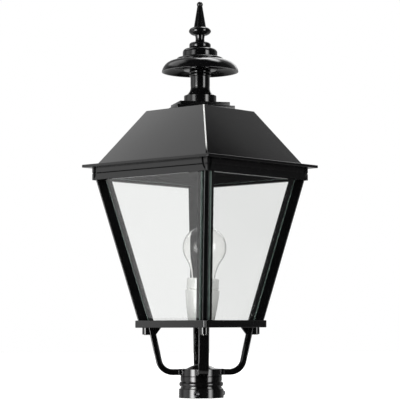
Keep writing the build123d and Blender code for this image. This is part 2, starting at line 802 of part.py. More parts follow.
with BuildPart() as cap_ring_lower:
    with BuildSketch(Plane.XZ):
        ring_radius = ring_lower_dia / 2
        cove_top = ledge_top_level + ring_lower_cove
        shoulder_foot = ring_lower_top - ring_lower_shoulder
        with BuildLine():
            Line((tie_bore_radius, ledge_top_level), (ring_radius + ring_lower_cove, ledge_top_level))
            RadiusArc(
                (ring_radius + ring_lower_cove, ledge_top_level),
                (ring_radius, cove_top),
                ring_lower_cove,
            )
            Line((ring_radius, cove_top), (ring_radius, shoulder_foot))
            RadiusArc(
                (ring_radius, shoulder_foot),
                (ring_radius - ring_lower_shoulder, ring_lower_top),
                -ring_lower_shoulder,
            )
            Line((ring_radius - ring_lower_shoulder, ring_lower_top), (tie_bore_radius, ring_lower_top))
            Line((tie_bore_radius, ring_lower_top), (tie_bore_radius, ledge_top_level))
        make_face()
    revolve(axis=Axis.Z)

with BuildPart() as cap_ring_upper:
    with BuildSketch(Plane.XY.offset(ring_lower_top)):
        Circle(ring_upper_dia / 2)
        Circle(tie_bore_radius, mode=Mode.SUBTRACT)
    extrude(amount=ring_upper_height)
    rims = cap_ring_upper.edges().filter_by(GeomType.CIRCLE).sort_by(SortBy.RADIUS)[-2:]
    fillet(rims, radius=ring_upper_height * 0.42)

# ---------------------------------------------------------------- finial and tie rod

bead_rim_bottom = stem_top + finial_bead_drop
bead_rim_top = bead_rim_bottom + finial_bead_rim
bead_top = bead_rim_top + finial_bead_rise
spire_top = bead_top + spire_height
ball_radius = ball_dia / 2
ball_sink = sqrt(ball_radius**2 - (spire_head_dia / 2) ** 2)
tie_top = stem_top + tie_thread / 2
with BuildPart() as finial:
    with BuildSketch(Plane.XZ):
        with BuildLine():
            Line((0, ring_upper_top), (stem_dia / 2 + stem_flare, ring_upper_top))
            ThreePointArc(
                (stem_dia / 2 + stem_flare, ring_upper_top),
                (stem_dia / 2, ring_upper_top + stem_height / 2),
                (stem_dia / 2 + stem_flare, stem_top),
            )
            SagittaArc(
                (stem_dia / 2 + stem_flare, stem_top),
                (finial_bead_dia / 2, bead_rim_bottom),
                -finial_bead_swell,
            )
            Line((finial_bead_dia / 2, bead_rim_bottom), (finial_bead_dia / 2, bead_rim_top))
            SagittaArc(
                (finial_bead_dia / 2, bead_rim_top),
                (finial_neck_dia / 2, bead_top),
                -finial_bead_swell,
            )
            Line((finial_neck_dia / 2, bead_top), (spire_foot_dia / 2, bead_top))
            Line((spire_foot_dia / 2, bead_top), (spire_head_dia / 2, spire_top))
            ThreePointArc(
                (spire_head_dia / 2, spire_top),
                (ball_radius, spire_top + ball_sink),
                (0, spire_top + ball_sink + ball_radius),
            )
            Line((0, spire_top + ball_sink + ball_radius), (0, ring_upper_top))
        make_face()
    revolve(axis=Axis.Z)
    with BuildSketch(Plane.XY.offset(ring_upper_top)):
        Circle(tie_bore_radius)
    extrude(amount=tie_top - ring_upper_top + tie_clearance, mode=Mode.SUBTRACT)

tie_washer_bottom = roof_wall_top - tie_washer_thick
tie_nut_bottom = tie_washer_bottom - tie_nut_height
with BuildPart() as tie_rod:
    with BuildSketch(Plane.XY.offset(tie_nut_bottom - tie_tail)):
        Circle(tie_dia / 2)
    extrude(amount=tie_top - tie_nut_bottom + tie_tail)
    chamfer(tie_rod.edges().filter_by(GeomType.CIRCLE), length=tie_dia / 8)

with BuildPart() as tie_washer:
    with BuildSketch(Plane.XY.offset(tie_washer_bottom)):
        Circle(tie_washer_dia / 2)
        Circle(tie_dia / 2, mode=Mode.SUBTRACT)
    extrude(amount=tie_washer_thick)

with BuildPart() as tie_nut:
    with BuildSketch(Plane.XY.offset(tie_nut_bottom)):
        RegularPolygon(tie_nut_width / 2, 6, major_radius=False)
        Circle(tie_dia / 2, mode=Mode.SUBTRACT)
    extrude(amount=tie_nut_height)

# ---------------------------------------------------------------- lampholder

holder_foot = base_plate_top + holder_washer_thick
lean_across = sin(radians(lamp_lean)) * cos(radians(lamp_lean_angle))
lean_along = sin(radians(lamp_lean)) * sin(radians(lamp_lean_angle))
lamp_direction = Vector(lean_across, lean_along, cos(radians(lamp_lean)))
lamp_origin = Vector(0, 0, holder_foot)
lamp_axis = Axis(lamp_origin, lamp_direction)
lamp_side = Vector(-sin(radians(lamp_lean_angle)), cos(radians(lamp_lean_angle)), 0)
lamp_section = Plane(origin=lamp_origin, x_dir=lamp_side, z_dir=lamp_side.cross(lamp_direction))


def lamp_level(height):
    """Plane square to the lamp's axis, at a height along it above the holder's foot."""
    return Plane(origin=lamp_origin + lamp_direction * height, x_dir=lamp_side, z_dir=lamp_direction)


shell_radius = shell_bore_dia / 2 + shell_wall
with BuildPart() as holder_nipple:
    with BuildSketch(Plane.XY.offset(base_height - nipple_below)):
        Circle(nipple_dia / 2)
        Circle(nipple_bore_dia / 2, mode=Mode.SUBTRACT)
    extrude(amount=nipple_length)

with BuildPart() as holder_nut:
    with BuildSketch(Plane.XY.offset(ledge_top - holder_nut_height)):
        RegularPolygon(holder_nut_width / 2, 6, major_radius=False)
        Circle(nipple_dia / 2, mode=Mode.SUBTRACT)
    extrude(amount=holder_nut_height)

with BuildPart() as holder_washer:
    with BuildSketch(Plane.XY.offset(base_plate_top)):
        Circle(holder_washer_dia / 2)
        Circle(nipple_dia / 2, mode=Mode.SUBTRACT)
    extrude(amount=holder_washer_thick)

with BuildPart() as holder_body:
    with BuildSketch(lamp_section):
        foot_radius, widest = holder_foot_dia / 2, holder_dia / 2
        rim_foot = holder_body_height - holder_rim_height
        with BuildLine():
            Line((0, -holder_washer_thick), (foot_radius, -holder_washer_thick))
            ThreePointArc(
                (foot_radius, -holder_washer_thick),
                (foot_radius + (widest - foot_radius) * 0.62, rim_foot / 2),
                (widest, rim_foot),
            )
            Line((widest, rim_foot), (widest, holder_body_height - holder_seam))
            Line((widest, holder_body_height - holder_seam), (widest - holder_seam, holder_body_height))
            Line((widest - holder_seam, holder_body_height), (0, holder_body_height))
            Line((0, holder_body_height), (0, -holder_washer_thick))
        make_face()
    revolve(axis=lamp_axis)
    with BuildSketch(lamp_level(holder_floor)):
        Circle(shell_radius)
    extrude(amount=holder_body_height - holder_floor, mode=Mode.SUBTRACT)
    with BuildSketch(lamp_level(wire_chamber_foot)):
        Circle(wire_chamber_dia / 2)
    extrude(amount=holder_floor - wire_chamber_foot, mode=Mode.SUBTRACT)
    with BuildSketch(Plane.XY.offset(base_height)):
        Circle(nipple_dia / 2)
    extrude(amount=holder_foot + wire_chamber_foot + holder_seam - base_height, mode=Mode.SUBTRACT)
    split(bisect_by=Plane.XY.offset(holder_foot), keep=Keep.TOP)

collar_bottom = holder_body_height
collar_head = collar_bottom + holder_collar_height
mouth_floor = collar_head - holder_mouth_depth
with BuildPart() as holder_collar:
    with BuildSketch(lamp_section):
        outer, mouth = holder_collar_dia / 2, holder_mouth_dia / 2
        with BuildLine():
            Polyline(
                (shell_radius, collar_bottom),
                (outer - holder_seam, collar_bottom),
                (outer, collar_bottom + holder_seam),
                (outer, collar_head - 2 * holder_seam),
                (outer - 2 * holder_seam, collar_head),
                (mouth, collar_head),
                (mouth, mouth_floor),
                (shell_radius, mouth_floor),
                close=True,
            )
        make_face()
    revolve(axis=lamp_axis)

with BuildPart() as holder_shell:
    with BuildSketch(lamp_level(holder_floor)):
        Circle(shell_radius)
        Circle(shell_bore_dia / 2, mode=Mode.SUBTRACT)
    extrude(amount=shell_height)

with BuildPart() as holder_contact:
    with BuildSketch(lamp_section):
        with BuildLine():
            Polyline(
                (-contact_length / 2, holder_floor),
                (-contact_length / 4, holder_floor),
                (0, bulb_seat - contact_thick),
                (contact_length / 4, bulb_seat - contact_thick),
                (contact_length / 4, bulb_seat),
                (0, bulb_seat),
                (-contact_length / 4, holder_floor + contact_thick),
                (-contact_length / 2, holder_floor + contact_thick),
                close=True,
            )
        make_face()
    extrude(amount=contact_width / 2, both=True)

# ---------------------------------------------------------------- bulb

cap_foot = bulb_seat + insulator_height
cap_head = bulb_seat + cap_height
neck_level = bulb_seat + bulb_neck_height
ball_level = bulb_seat + bulb_length - bulb_dia / 2
neck_radius = bulb_neck_dia / 2
envelope_radius = bulb_dia / 2
ball_above_neck = ball_level - neck_level
throat_radius = (neck_radius**2 + ball_above_neck**2 - envelope_radius**2) / (bulb_dia - bulb_neck_dia)
throat_centre = neck_radius + throat_radius
throat_angle = atan(ball_above_neck / throat_centre)
cap_radius = cap_dia / 2
cap_inner = cap_radius - cap_thread_depth - cap_wall


def envelope_outline(inset):
    """Half outline of the envelope, moved inwards by an inset: neck, throat arc and ball."""
    neck, throat, ball = neck_radius - inset, throat_radius + inset, envelope_radius - inset
    joint = (ball * cos(throat_angle), ball_level - ball * sin(throat_angle))
    middle = (throat_centre - throat * cos(throat_angle / 2), neck_level + throat * sin(throat_angle / 2))
    foot, waist = cap_head - bulb_wall + inset, cap_inner - inset
    Polyline((0, foot), (waist, foot), (waist, cap_head + inset), (neck, neck_level))
    ThreePointArc((neck, neck_level), middle, joint)
    ThreePointArc(joint, (ball, ball_level), (0, ball_level + ball))
    Line((0, ball_level + ball), (0, foot))


with BuildPart() as bulb_glass:
    with BuildSketch(lamp_section):
        with BuildLine():
            envelope_outline(0)
        make_face()
    revolve(axis=lamp_axis)
    with BuildSketch(lamp_section):
        with BuildLine():
            envelope_outline(bulb_wall)
        make_face()
    revolve(axis=lamp_axis, mode=Mode.SUBTRACT)

with BuildPart() as bulb_cap:
    with BuildSketch(lamp_section):
        thread_foot = cap_radius - cap_thread_depth
        thread_top = cap_foot + cap_thread_pitch * cap_thread_count
        with BuildLine():
            Line((cap_inner, cap_foot), (thread_foot, cap_foot))
            for turn in range(cap_thread_count):
                bottom = cap_foot + turn * cap_thread_pitch
                ThreePointArc(
                    (thread_foot, bottom),
                    (cap_radius, bottom + cap_thread_pitch / 2),
                    (thread_foot, bottom + cap_thread_pitch),
                )
            Polyline(
                (thread_foot, thread_top),
                (cap_radius, cap_head),
                (cap_inner, cap_head),
                (cap_inner, cap_foot),
            )
        make_face()
    revolve(axis=lamp_axis)

with BuildPart() as bulb_insulator:
    with BuildSketch(lamp_section):
        with BuildLine():
            Polyline(
                (0, bulb_seat + tip_height),
                (tip_dia / 2, bulb_seat + tip_height),
                (cap_inner, cap_foot - tip_height),
                (cap_inner, cap_foot + tip_height),
                (0, cap_foot + tip_height),
                close=True,
            )
        make_face()
    revolve(axis=lamp_axis)

with BuildPart() as bulb_tip:
    with BuildSketch(lamp_level(bulb_seat)):
        Circle(tip_dia / 2)
    extrude(amount=tip_height)
    low_rim = bulb_tip.edges().filter_by(GeomType.CIRCLE).sort_by(Axis.Z)[0]
    fillet(low_rim, radius=tip_height / 2)

with BuildPart() as bulb_stem:
    with BuildSketch(lamp_section):
        stem_seat = cap_head
        stem_head = bulb_seat + bulb_stem_height
        with BuildLine():
            Line((0, stem_seat), (bulb_stem_dia, stem_seat))
            ThreePointArc(
                (bulb_stem_dia, stem_seat),
                (bulb_stem_dia * 0.6, stem_seat + bulb_stem_dia * 0.8),
                (bulb_stem_dia / 2, stem_seat + bulb_stem_dia * 2),
            )
            Line((bulb_stem_dia / 2, stem_seat + bulb_stem_dia * 2), (bulb_stem_dia / 2, stem_head))
            Polyline((bulb_stem_dia / 2, stem_head), (0, stem_head), (0, stem_seat))
        make_face()
    revolve(axis=lamp_axis)

with BuildPart() as bulb_filament:
    lead_foot = bulb_stem_dia / 4
    with BuildLine(lamp_section) as filament_route:
        FilletPolyline(
            (-lead_foot, stem_head),
            (-filament_reach, bulb_seat + filament_height),
            (0, bulb_seat + filament_height + filament_reach / 3),
            (filament_reach, bulb_seat + filament_height),
            (lead_foot, stem_head),
            radius=[2 * filament_wire_dia, filament_reach, 2 * filament_wire_dia],
        )
    wire_start = filament_route.line @ 0
    wire_heading = filament_route.line % 0
    with BuildSketch(Plane(origin=wire_start, z_dir=wire_heading)):
        Circle(filament_wire_dia / 2)
    sweep(path=filament_route.line)
    split(bisect_by=lamp_level(stem_head), keep=Keep.TOP)

# ---------------------------------------------------------------- labels and files

pieces = {
    "post_sleeve": post_sleeve,
    "arm_hub": arm_hub,
    "cable_grommet": cable_grommet,
    "arm_bolts": arm_bolts,
    "bar_screws": bar_screws,
    "base_frame": base_frame,
    "base_plate": base_plate,
    "base_plate_screws": base_plate_screws,
    "top_frame": top_frame,
    "hood_skirt": hood_skirt,
    "eave_flange": eave_flange,
    "roof_top_plate": roof_top_plate,
    "chimney_lower_plate": chimney_lower_plate,
    "chimney_upper_plate": chimney_upper_plate,
    "chimney_column": chimney_column,
    "chimney_collar": chimney_collar,
    "dome_cap": dome_cap,
    "cap_ring_lower": cap_ring_lower,
    "cap_ring_upper": cap_ring_upper,
    "finial": finial,
    "tie_rod": tie_rod,
    "tie_washer": tie_washer,
    "tie_nut": tie_nut,
    "holder_nipple": holder_nipple,
    "holder_nut": holder_nut,
    "holder_washer": holder_washer,
    "holder_body": holder_body,
    "holder_collar": holder_collar,
    "holder_shell": holder_shell,
    "holder_contact": holder_contact,
    "bulb_glass": bulb_glass,
    "bulb_cap": bulb_cap,
    "bulb_insulator": bulb_insulator,
    "bulb_tip": bulb_tip,
    "bulb_stem": bulb_stem,
    "bulb_filament": bulb_filament,
}
pieces.update({f"arm_{corner}": arm for corner, arm in arms.items()})
pieces.update({f"bar_{corner}": bar for corner, bar in bars.items()})
pieces.update({f"glass_{face}": pane for face, pane in panes.items()})
pieces.update({f"roof_{face}": roof_side for face, roof_side in roof_sides.items()})
pieces.update({f"set_screw_{number}": screw for number, screw in enumerate(set_screws, start=1)})

os.makedirs("parts", exist_ok=True)
for label, piece in pieces.items():
    piece.part.label = label
    export_step(piece.part, f"parts/{label}.step")
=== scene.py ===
import math

import bmesh
import bpy
from mathutils import Matrix, Vector
from mathutils.geometry import interpolate_bezier


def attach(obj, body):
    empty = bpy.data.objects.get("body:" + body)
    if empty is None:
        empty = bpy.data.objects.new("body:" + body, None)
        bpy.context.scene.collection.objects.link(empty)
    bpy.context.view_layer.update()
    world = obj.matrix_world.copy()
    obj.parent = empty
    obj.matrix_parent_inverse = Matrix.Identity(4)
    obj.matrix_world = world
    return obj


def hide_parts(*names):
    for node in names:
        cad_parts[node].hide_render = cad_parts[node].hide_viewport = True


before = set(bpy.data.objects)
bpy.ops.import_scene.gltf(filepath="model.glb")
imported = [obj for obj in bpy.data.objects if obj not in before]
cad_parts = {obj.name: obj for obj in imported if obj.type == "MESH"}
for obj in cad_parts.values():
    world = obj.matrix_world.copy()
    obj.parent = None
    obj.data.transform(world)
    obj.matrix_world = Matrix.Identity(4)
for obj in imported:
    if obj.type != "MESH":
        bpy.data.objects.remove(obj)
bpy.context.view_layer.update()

# ---------------------------------------------------------------- the view
# The lantern is seen from a little below its middle and 41.6 degrees round from its front face,
# from far enough away that its upright lines stay nearly parallel.
camera_distance = 2.4072
camera_round = math.radians(41.62)
camera_height = 0.1015
camera_pitch = math.radians(4.308)
camera_roll = math.radians(0.2)
camera_aside = math.radians(0.034)
camera = bpy.data.objects.new("camera", bpy.data.cameras.new("camera"))
bpy.context.scene.collection.objects.link(camera)
camera.data.sensor_width = 36.0
camera.data.lens = 150.97
camera.data.clip_start = 0.05
camera.data.clip_end = 60.0
camera.location = (
    camera_distance * math.sin(camera_round),
    -camera_distance * math.cos(camera_round),
    camera_height,
)
camera.rotation_euler = (math.pi / 2 + camera_pitch, camera_roll, camera_round + camera_aside)
bpy.context.scene.camera = camera
bpy.context.scene.view_settings.view_transform = "Standard"


# ---------------------------------------------------------------- the light
# The camera sees a plain white studio. The polished enamel mirrors a darker one: open on the left,
# a soft strip of light on each side, and lights high up behind. Plain light falls on the rest.
class Shade:
    """A value that changes over a surface or a sky, so that shader maths reads as sums."""

    def __init__(self, tree, socket):
        self.tree, self.socket = tree, socket

    def maths(self, operation, *values):
        return self.tree.node("ShaderNodeMath", {"operation": operation}, dict(enumerate(values)))

    def __add__(self, other):
        return self.maths("ADD", self, other)

    def __sub__(self, other):
        return self.maths("SUBTRACT", self, other)

    def __rsub__(self, other):
        return self.maths("SUBTRACT", other, self)

    def __mul__(self, other):
        return self.maths("MULTIPLY", self, other)

    def __gt__(self, other):
        return self.maths("GREATER_THAN", self, other)

    __radd__, __rmul__ = __add__, __mul__

    def steps(self, low, high, start=0.0, end=1.0):
        """Runs smoothly from start to end as the value goes from low to high."""
        limits = {1: low, 2: high, 3: start, 4: end}
        return self.tree.node("ShaderNodeMapRange", {"interpolation_type": "SMOOTHSTEP"}, {0: self, **limits})


class Tree:
    """The nodes of one finish or of the sky."""

    def __init__(self, owner):
        owner.use_nodes = True
        self.nodes, self.links = owner.node_tree.nodes, owner.node_tree.links
        self.nodes.clear()

    def node(self, kind, settings, sockets, out=0):
        made = self.nodes.new(kind)
        for name, value in settings.items():
            setattr(made, name, value)
        for name, value in sockets.items():
            if isinstance(value, Shade):
                self.links.new(value.socket, made.inputs[name])
            else:
                made.inputs[name].default_value = value
        return Shade(self, made.outputs[out]) if made.outputs else None


bpy.context.scene.world = bpy.data.worlds.new("studio")
sky = Tree(bpy.context.scene.world)
ray = sky.node("ShaderNodeTexCoord", {}, {}, "Generated")
right_way = (math.cos(camera_round), math.sin(camera_round), 0)
near_way = (math.sin(camera_round), -math.cos(camera_round), 0)
across = sky.node("ShaderNodeVectorMath", {"operation": "DOT_PRODUCT"}, {0: ray, 1: right_way}, 1)
ahead = sky.node("ShaderNodeVectorMath", {"operation": "DOT_PRODUCT"}, {0: ray, 1: near_way}, 1)
rise = sky.node("ShaderNodeSeparateXYZ", {}, {0: ray}, 2)
round_about = across.maths("ARCTAN2", across, ahead) * (180 / math.pi)
left_open = round_about.steps(-52, -80, 0.0, 1.2) - round_about.steps(-92, -118, 0.0, 1.0)
left_open = left_open * rise.steps(0.40, 0.22)
right_open = round_about.steps(60, 90, 0.0, 0.07) + round_about.steps(108, 128, 0.0, 0.3)
low_enough = rise.steps(-0.55, -0.25) * rise.steps(0.48, 0.36)
left_strip = round_about.steps(-66, -48) * round_about.steps(-29, -44) * rise.steps(0.0, 0.15, 19.0, 3.0)
right_strip = round_about.steps(66, 48) * round_about.steps(35, 44) * rise.steps(0.2, 0.36, 8.5, 2.2)
back_left = round_about.steps(-105, -130, 0.0, 0.25)
back_right = (round_about.steps(142, 155) + round_about.steps(-172, -180)) * rise.steps(0.2, 0.32)
top_light = round_about.steps(80, 115) + round_about.steps(-165, -180)
top_light = top_light * rise.steps(0.80, 0.88) * rise.steps(0.985, 0.93)
roof_light = round_about.steps(-150, -134) * round_about.steps(-72, -90)
roof_light = roof_light * rise.steps(0.46, 0.58) * rise.steps(0.94, 0.86)
back_power, top_power, roof_power = 1.6, 7.0, 1.5
room = left_open + right_open + (left_strip + right_strip) * low_enough + back_left
room = room + back_right * back_power + top_light * top_power + roof_light * roof_power
rays = sky.nodes.new("ShaderNodeLightPath").outputs
clear_view = Shade(sky, rays["Is Transmission Ray"]) * (1 - (Shade(sky, rays["Glossy Depth"]) > 0.5))
seen = clear_view.maths("MAXIMUM", clear_view, Shade(sky, rays["Is Camera Ray"]))
mirrored = Shade(sky, rays["Glossy Depth"]) > 0.5
plain = 0.85
strength = seen + (1 - seen) * (mirrored * room + (1 - mirrored) * plain)
white_room = sky.node("ShaderNodeBackground", {}, {"Color": (1, 1, 1, 1), "Strength": strength})
sky.node("ShaderNodeOutputWorld", {}, {"Surface": white_room})

strips = {"left_strip": (-52, 1.5, 26.0), "right_strip": (47, 1.2, 12.0)}
for name, (angle, width, power) in strips.items():
    strip = bpy.data.objects.new(name, bpy.data.lights.new(name, "AREA"))
    bpy.context.scene.collection.objects.link(strip)
    strip.data.shape = "RECTANGLE"
    strip.data.size, strip.data.size_y = width, 1.6
    strip.data.energy = power
    turn = camera_round + math.radians(angle)
    place = Vector((math.sin(turn), -math.cos(turn), 0.45)) * 2.2
    strip.location = place
    strip.rotation_euler = (Vector((0, 0, 0.25)) - place).to_track_quat("-Z", "Y").to_euler()
    strip.visible_glossy = strip.visible_camera = strip.visible_transmission = False

# ---------------------------------------------------------------- the floor
# A plain pale sheet under the sleeve's foot. It takes the lantern's soft shadow, and the enamel's
# reflections look through it into the room, as past a sheet little wider than the lantern.
floor_shape = bmesh.new()
bmesh.ops.create_circle(floor_shape, cap_ends=True, segments=96, radius=4.0)
floor_mesh = bpy.data.meshes.new("floor")
floor_shape.to_mesh(floor_mesh)
floor_shape.free()
floor = bpy.data.objects.new("floor", floor_mesh)
bpy.context.scene.collection.objects.link(floor)
pale = Tree(bpy.data.materials.new("pale_floor"))
floor_mesh.materials.append(bpy.data.materials["pale_floor"])
paper = pale.node("ShaderNodeBsdfDiffuse", {}, {"Color": (0.94, 0.94, 0.94, 1), "Roughness": 0.5})
glow = pale.node("ShaderNodeEmission", {}, {"Color": (1, 1, 1, 1), "Strength": 0.5})
open_paper = pale.node("ShaderNodeAddShader", {}, {0: paper, 1: glow})
unmirrored = pale.node("ShaderNodeBsdfTransparent", {}, {"Color": (1, 1, 1, 1)})
floor_rays = pale.nodes.new("ShaderNodeLightPath").outputs
from_camera = Shade(pale, floor_rays["Is Camera Ray"])
looked_at = from_camera.maths("MAXIMUM", from_camera, Shade(pale, floor_rays["Is Transmission Ray"]))
lit = pale.node("ShaderNodeMixShader", {}, {0: looked_at, 1: paper, 2: open_paper})
mirror_ray = Shade(pale, floor_rays["Is Glossy Ray"])
floor_skin = pale.node("ShaderNodeMixShader", {}, {0: mirror_ray, 1: lit, 2: unmirrored})
pale.node("ShaderNodeOutputMaterial", {}, {"Surface": floor_skin})

# ---------------------------------------------------------------- post sleeve
# A cast and turned steel tube that slips over the post: a foot band, a thin ring, a bead between
# two turned grooves and a neck. It is lacquered black all over, slightly coarse as castings are.
mm = 0.001


def half_section(corners):
    """Points of a half section. A corner is reach, height, rounding, and the bow of the run up to it."""
    corners = [tuple(corner) + (0,) * (4 - len(corner)) for corner in corners]
    spots = [Vector((corner[0], 0, corner[1])) for corner in corners]
    points = []
    for n, (spot, (_, _, rounding, bow)) in enumerate(zip(spots, corners)):
        before, after = spots[n - 1], spots[(n + 1) % len(spots)]
        bend = [spot]
        if rounding:
            come, go = (spot - before).normalized(), (after - spot).normalized()
            turn = come.angle(go)
            cut, pull = rounding * math.tan(turn / 2), rounding * math.tan(turn / 4) * 4 / 3
            start, end = spot - come * cut, spot + go * cut
            bend = interpolate_bezier(start, start + come * pull, end - go * pull, end, 3 + round(turn * 3))
        if bow:
            run = bend[0] - points[-1]
            swing = 2 * math.atan(2 * bow / run.length)
            pull = abs(math.tan(swing / 2) * run.length / math.sin(swing)) * 2 / 3
            leave = Matrix.Rotation(swing, 3, "Y") @ run.normalized() * pull
            reach = Matrix.Rotation(-swing, 3, "Y") @ run.normalized() * pull
            arc = interpolate_bezier(
                points[-1], points[-1] + leave, bend[0] - reach, bend[0], 4 + round(abs(swing) * 12)
            )
            points += arc[1:-1]
        points += bend
    return points


def turned(corners, closed=True, sides=96, square_rounding=0.0):
    """A piece turned about the upright axis; with few sides, its reach is measured to a flat."""
    shape = bmesh.new()
    stretch = 1 / math.cos(math.pi / sides) if sides < 12 else 1.0
    start = Matrix.Rotation(math.pi / sides, 3, "Z") if sides < 12 else Matrix.Identity(3)
    points = [start @ Vector((p.x * stretch, 0, p.z)) * mm for p in half_section(corners)]
    verts = [shape.verts.new(point) for point in points]
    pairs = list(zip(verts, verts[1:])) + ([(verts[-1], verts[0])] if closed else [])
    edges = [shape.edges.new(pair) for pair in pairs]
    bmesh.ops.spin(
        shape, geom=verts + edges, cent=(0, 0, 0), axis=(0, 0, 1), angle=2 * math.pi, steps=sides,
        use_merge=True
    )
    bmesh.ops.remove_doubles(shape, verts=shape.verts, dist=0.002 * mm)
    bmesh.ops.recalc_face_normals(shape, faces=shape.faces)
    if square_rounding:
        widest = max(vert.co.x for vert in shape.verts)
        corner_edges = [
            edge
            for edge in shape.edges
            if all(
                abs(abs(v.co.x) - abs(v.co.y)) < 0.01 * mm and abs(v.co.x) > 0.3 * widest for v in edge.verts
            )
            and edge.calc_face_angle_signed() > 0.5
        ]
        bmesh.ops.bevel(
            shape, geom=corner_edges, offset=square_rounding * mm, segments=6,
            profile=0.5, affect="EDGES", material=-1
        )
    return shape


def carved(shape, tools, operation="DIFFERENCE"):
    """A closed shape with other closed shapes cut out of it or joined to it."""
    blanks = []
    for body in (shape, *tools):
        mesh = bpy.data.meshes.new("blank")
        body.to_mesh(mesh)
        body.free()
        blanks.append(bpy.data.objects.new("blank", mesh))
        bpy.context.scene.collection.objects.link(blanks[-1])
    for tool in blanks[1:]:
        step = blanks[0].modifiers.new("step", "BOOLEAN")
        step.operation, step.solver, step.object = operation, "EXACT", tool
    bpy.context.view_layer.update()
    worked = bpy.data.meshes.new_from_object(blanks[0].evaluated_get(bpy.context.evaluated_depsgraph_get()))
    made = bmesh.new()
    made.from_mesh(worked)
    bpy.data.meshes.remove(worked)
    for blank in blanks:
        bpy.data.meshes.remove(blank.data)
    return made


def fitted(shape, name, body, nodes, finishes, seat=None, edge=0.3, crease=32, wall=0.0):
    """The shape becomes a finished piece on its body, in place of its solids."""
    if seat is not None:
        bmesh.ops.transform(shape, matrix=seat, verts=shape.verts)
    mesh = bpy.data.meshes.new(name)
    shape.to_mesh(mesh)
    shape.free()
    mesh.shade_smooth()
    mesh.set_sharp_from_angle(angle=math.radians(crease))
    for finish in finishes:
        mesh.materials.append(finish)
    piece = bpy.data.objects.new(name, mesh)
    bpy.context.scene.collection.objects.link(piece)
    if wall:
        shell = piece.modifiers.new("wall", "SOLIDIFY")
        shell.thickness, shell.offset = wall * mm, -1
    if edge:
        soften = piece.modifiers.new("softened edges", "BEVEL")
        soften.width, soften.segments, soften.limit_method = edge * mm, 2, "ANGLE"
        soften.angle_limit = math.radians(crease)
        even = piece.modifiers.new("even shading", "WEIGHTED_NORMAL")
        even.keep_sharp = True
        mesh.set_sharp_from_angle(angle=math.radians(180))
    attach(piece, body)
    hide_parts(*nodes)
    return piece


def facing(angle):
    """Turns a piece about the upright axis, by degrees."""
    return Matrix.Rotation(math.radians(angle), 4, "Z")


def enamel(name, grain, roughness, dust, painted_highlight=None):
    """Black baked lacquer: a deep gloss with a faint orange peel, duller where dust has settled."""
    finish = bpy.data.materials.new(name)
    tree = Tree(finish)
    place = tree.node("ShaderNodeTexCoord", {}, {}, "Object")
    cloud = tree.node(
        "ShaderNodeTexNoise", {}, {"Vector": place, "Scale": 14.0, "Detail": 4.0, "Roughness": 0.6}
    )
    peel = tree.node(
        "ShaderNodeTexNoise", {}, {"Vector": place, "Scale": grain, "Detail": 2.0, "Roughness": 0.5}
    )
    specks = tree.node("ShaderNodeTexNoise", {}, {"Vector": place, "Scale": 2600.0, "Detail": 0.0})
    spots = specks.steps(0.72, 0.80)
    patches = cloud.steps(0.35, 0.75)
    lacquer = {"data_type": "RGBA"}
    colour = tree.node(
        "ShaderNodeMix", lacquer,
        {0: patches, 6: (0.0022, 0.0022, 0.0024, 1), 7: (0.0040, 0.0040, 0.0042, 1)}, 2
    )
    colour = tree.node("ShaderNodeMix", lacquer, {0: spots * dust, 6: colour, 7: (0.05, 0.05, 0.048, 1)}, 2)
    rough = roughness + patches * 0.05 + spots * 0.1
    # Where a mask is given, a pale painted highlight is laid over the lacquer.
    if painted_highlight:
        pale = painted_highlight(tree, place) * cloud.steps(0.2, 0.5, 0.75, 1.0)
        colour = tree.node("ShaderNodeMix", lacquer, {0: pale, 6: colour, 7: (0.72, 0.72, 0.70, 1)}, 2)
        rough = rough + pale * 0.3
    bump = tree.node("ShaderNodeBump", {}, {"Strength": 0.12, "Distance": 0.00012, "Height": peel})
    skin = tree.node(
        "ShaderNodeBsdfPrincipled",
        {},
        {"Base Color": colour, "Roughness": rough, "Normal": bump, "IOR": 1.5},
    )
    tree.node("ShaderNodeOutputMaterial", {}, {"Surface": skin})
    return finish


black_cast = enamel("black_cast_enamel", 420.0, 0.10, 0.25)
sleeve_section = [
    (25.0, 0.0),
    (31.9, 0.0, 0.8),
    (31.9, 13.2, 0.8),
    (29.7, 13.2, 0.3),
    (29.7, 15.0, 0.15),
    (28.7, 15.0),
    (28.7, 16.3),
    (30.6, 16.3, 0.6),
    (30.6, 22.9, 0.6, 0.9),
    (28.7, 22.9),
    (28.7, 24.0),
    (29.7, 24.0, 0.15),
    (29.7, 29.9, 0.2),
    (28.9, 30.4),
    (25.0, 30.4),
]
screw_angles = (60, 180, 300)
screw_level = 6.4


def screw_aim(angle):
    """Lays a piece that was turned upright along a set screw's way in."""
    return facing(angle) @ Matrix.Translation((0, 0, screw_level * mm)) @ Matrix.Rotation(math.pi / 2, 4, "Y")


screw_holes = []
for angle in screw_angles:
    hole = turned([(0, 20), (4.05, 20), (4.05, 40), (0, 40)], closed=False, sides=32)
    bmesh.ops.transform(hole, matrix=screw_aim(angle), verts=hole.verts)
    screw_holes.append(hole)
sleeve = carved(turned(sleeve_section, sides=128), screw_holes)
fitted(sleeve, "post_sleeve_turned", "lantern_body", ["post_sleeve"], [black_cast], edge=0.2)

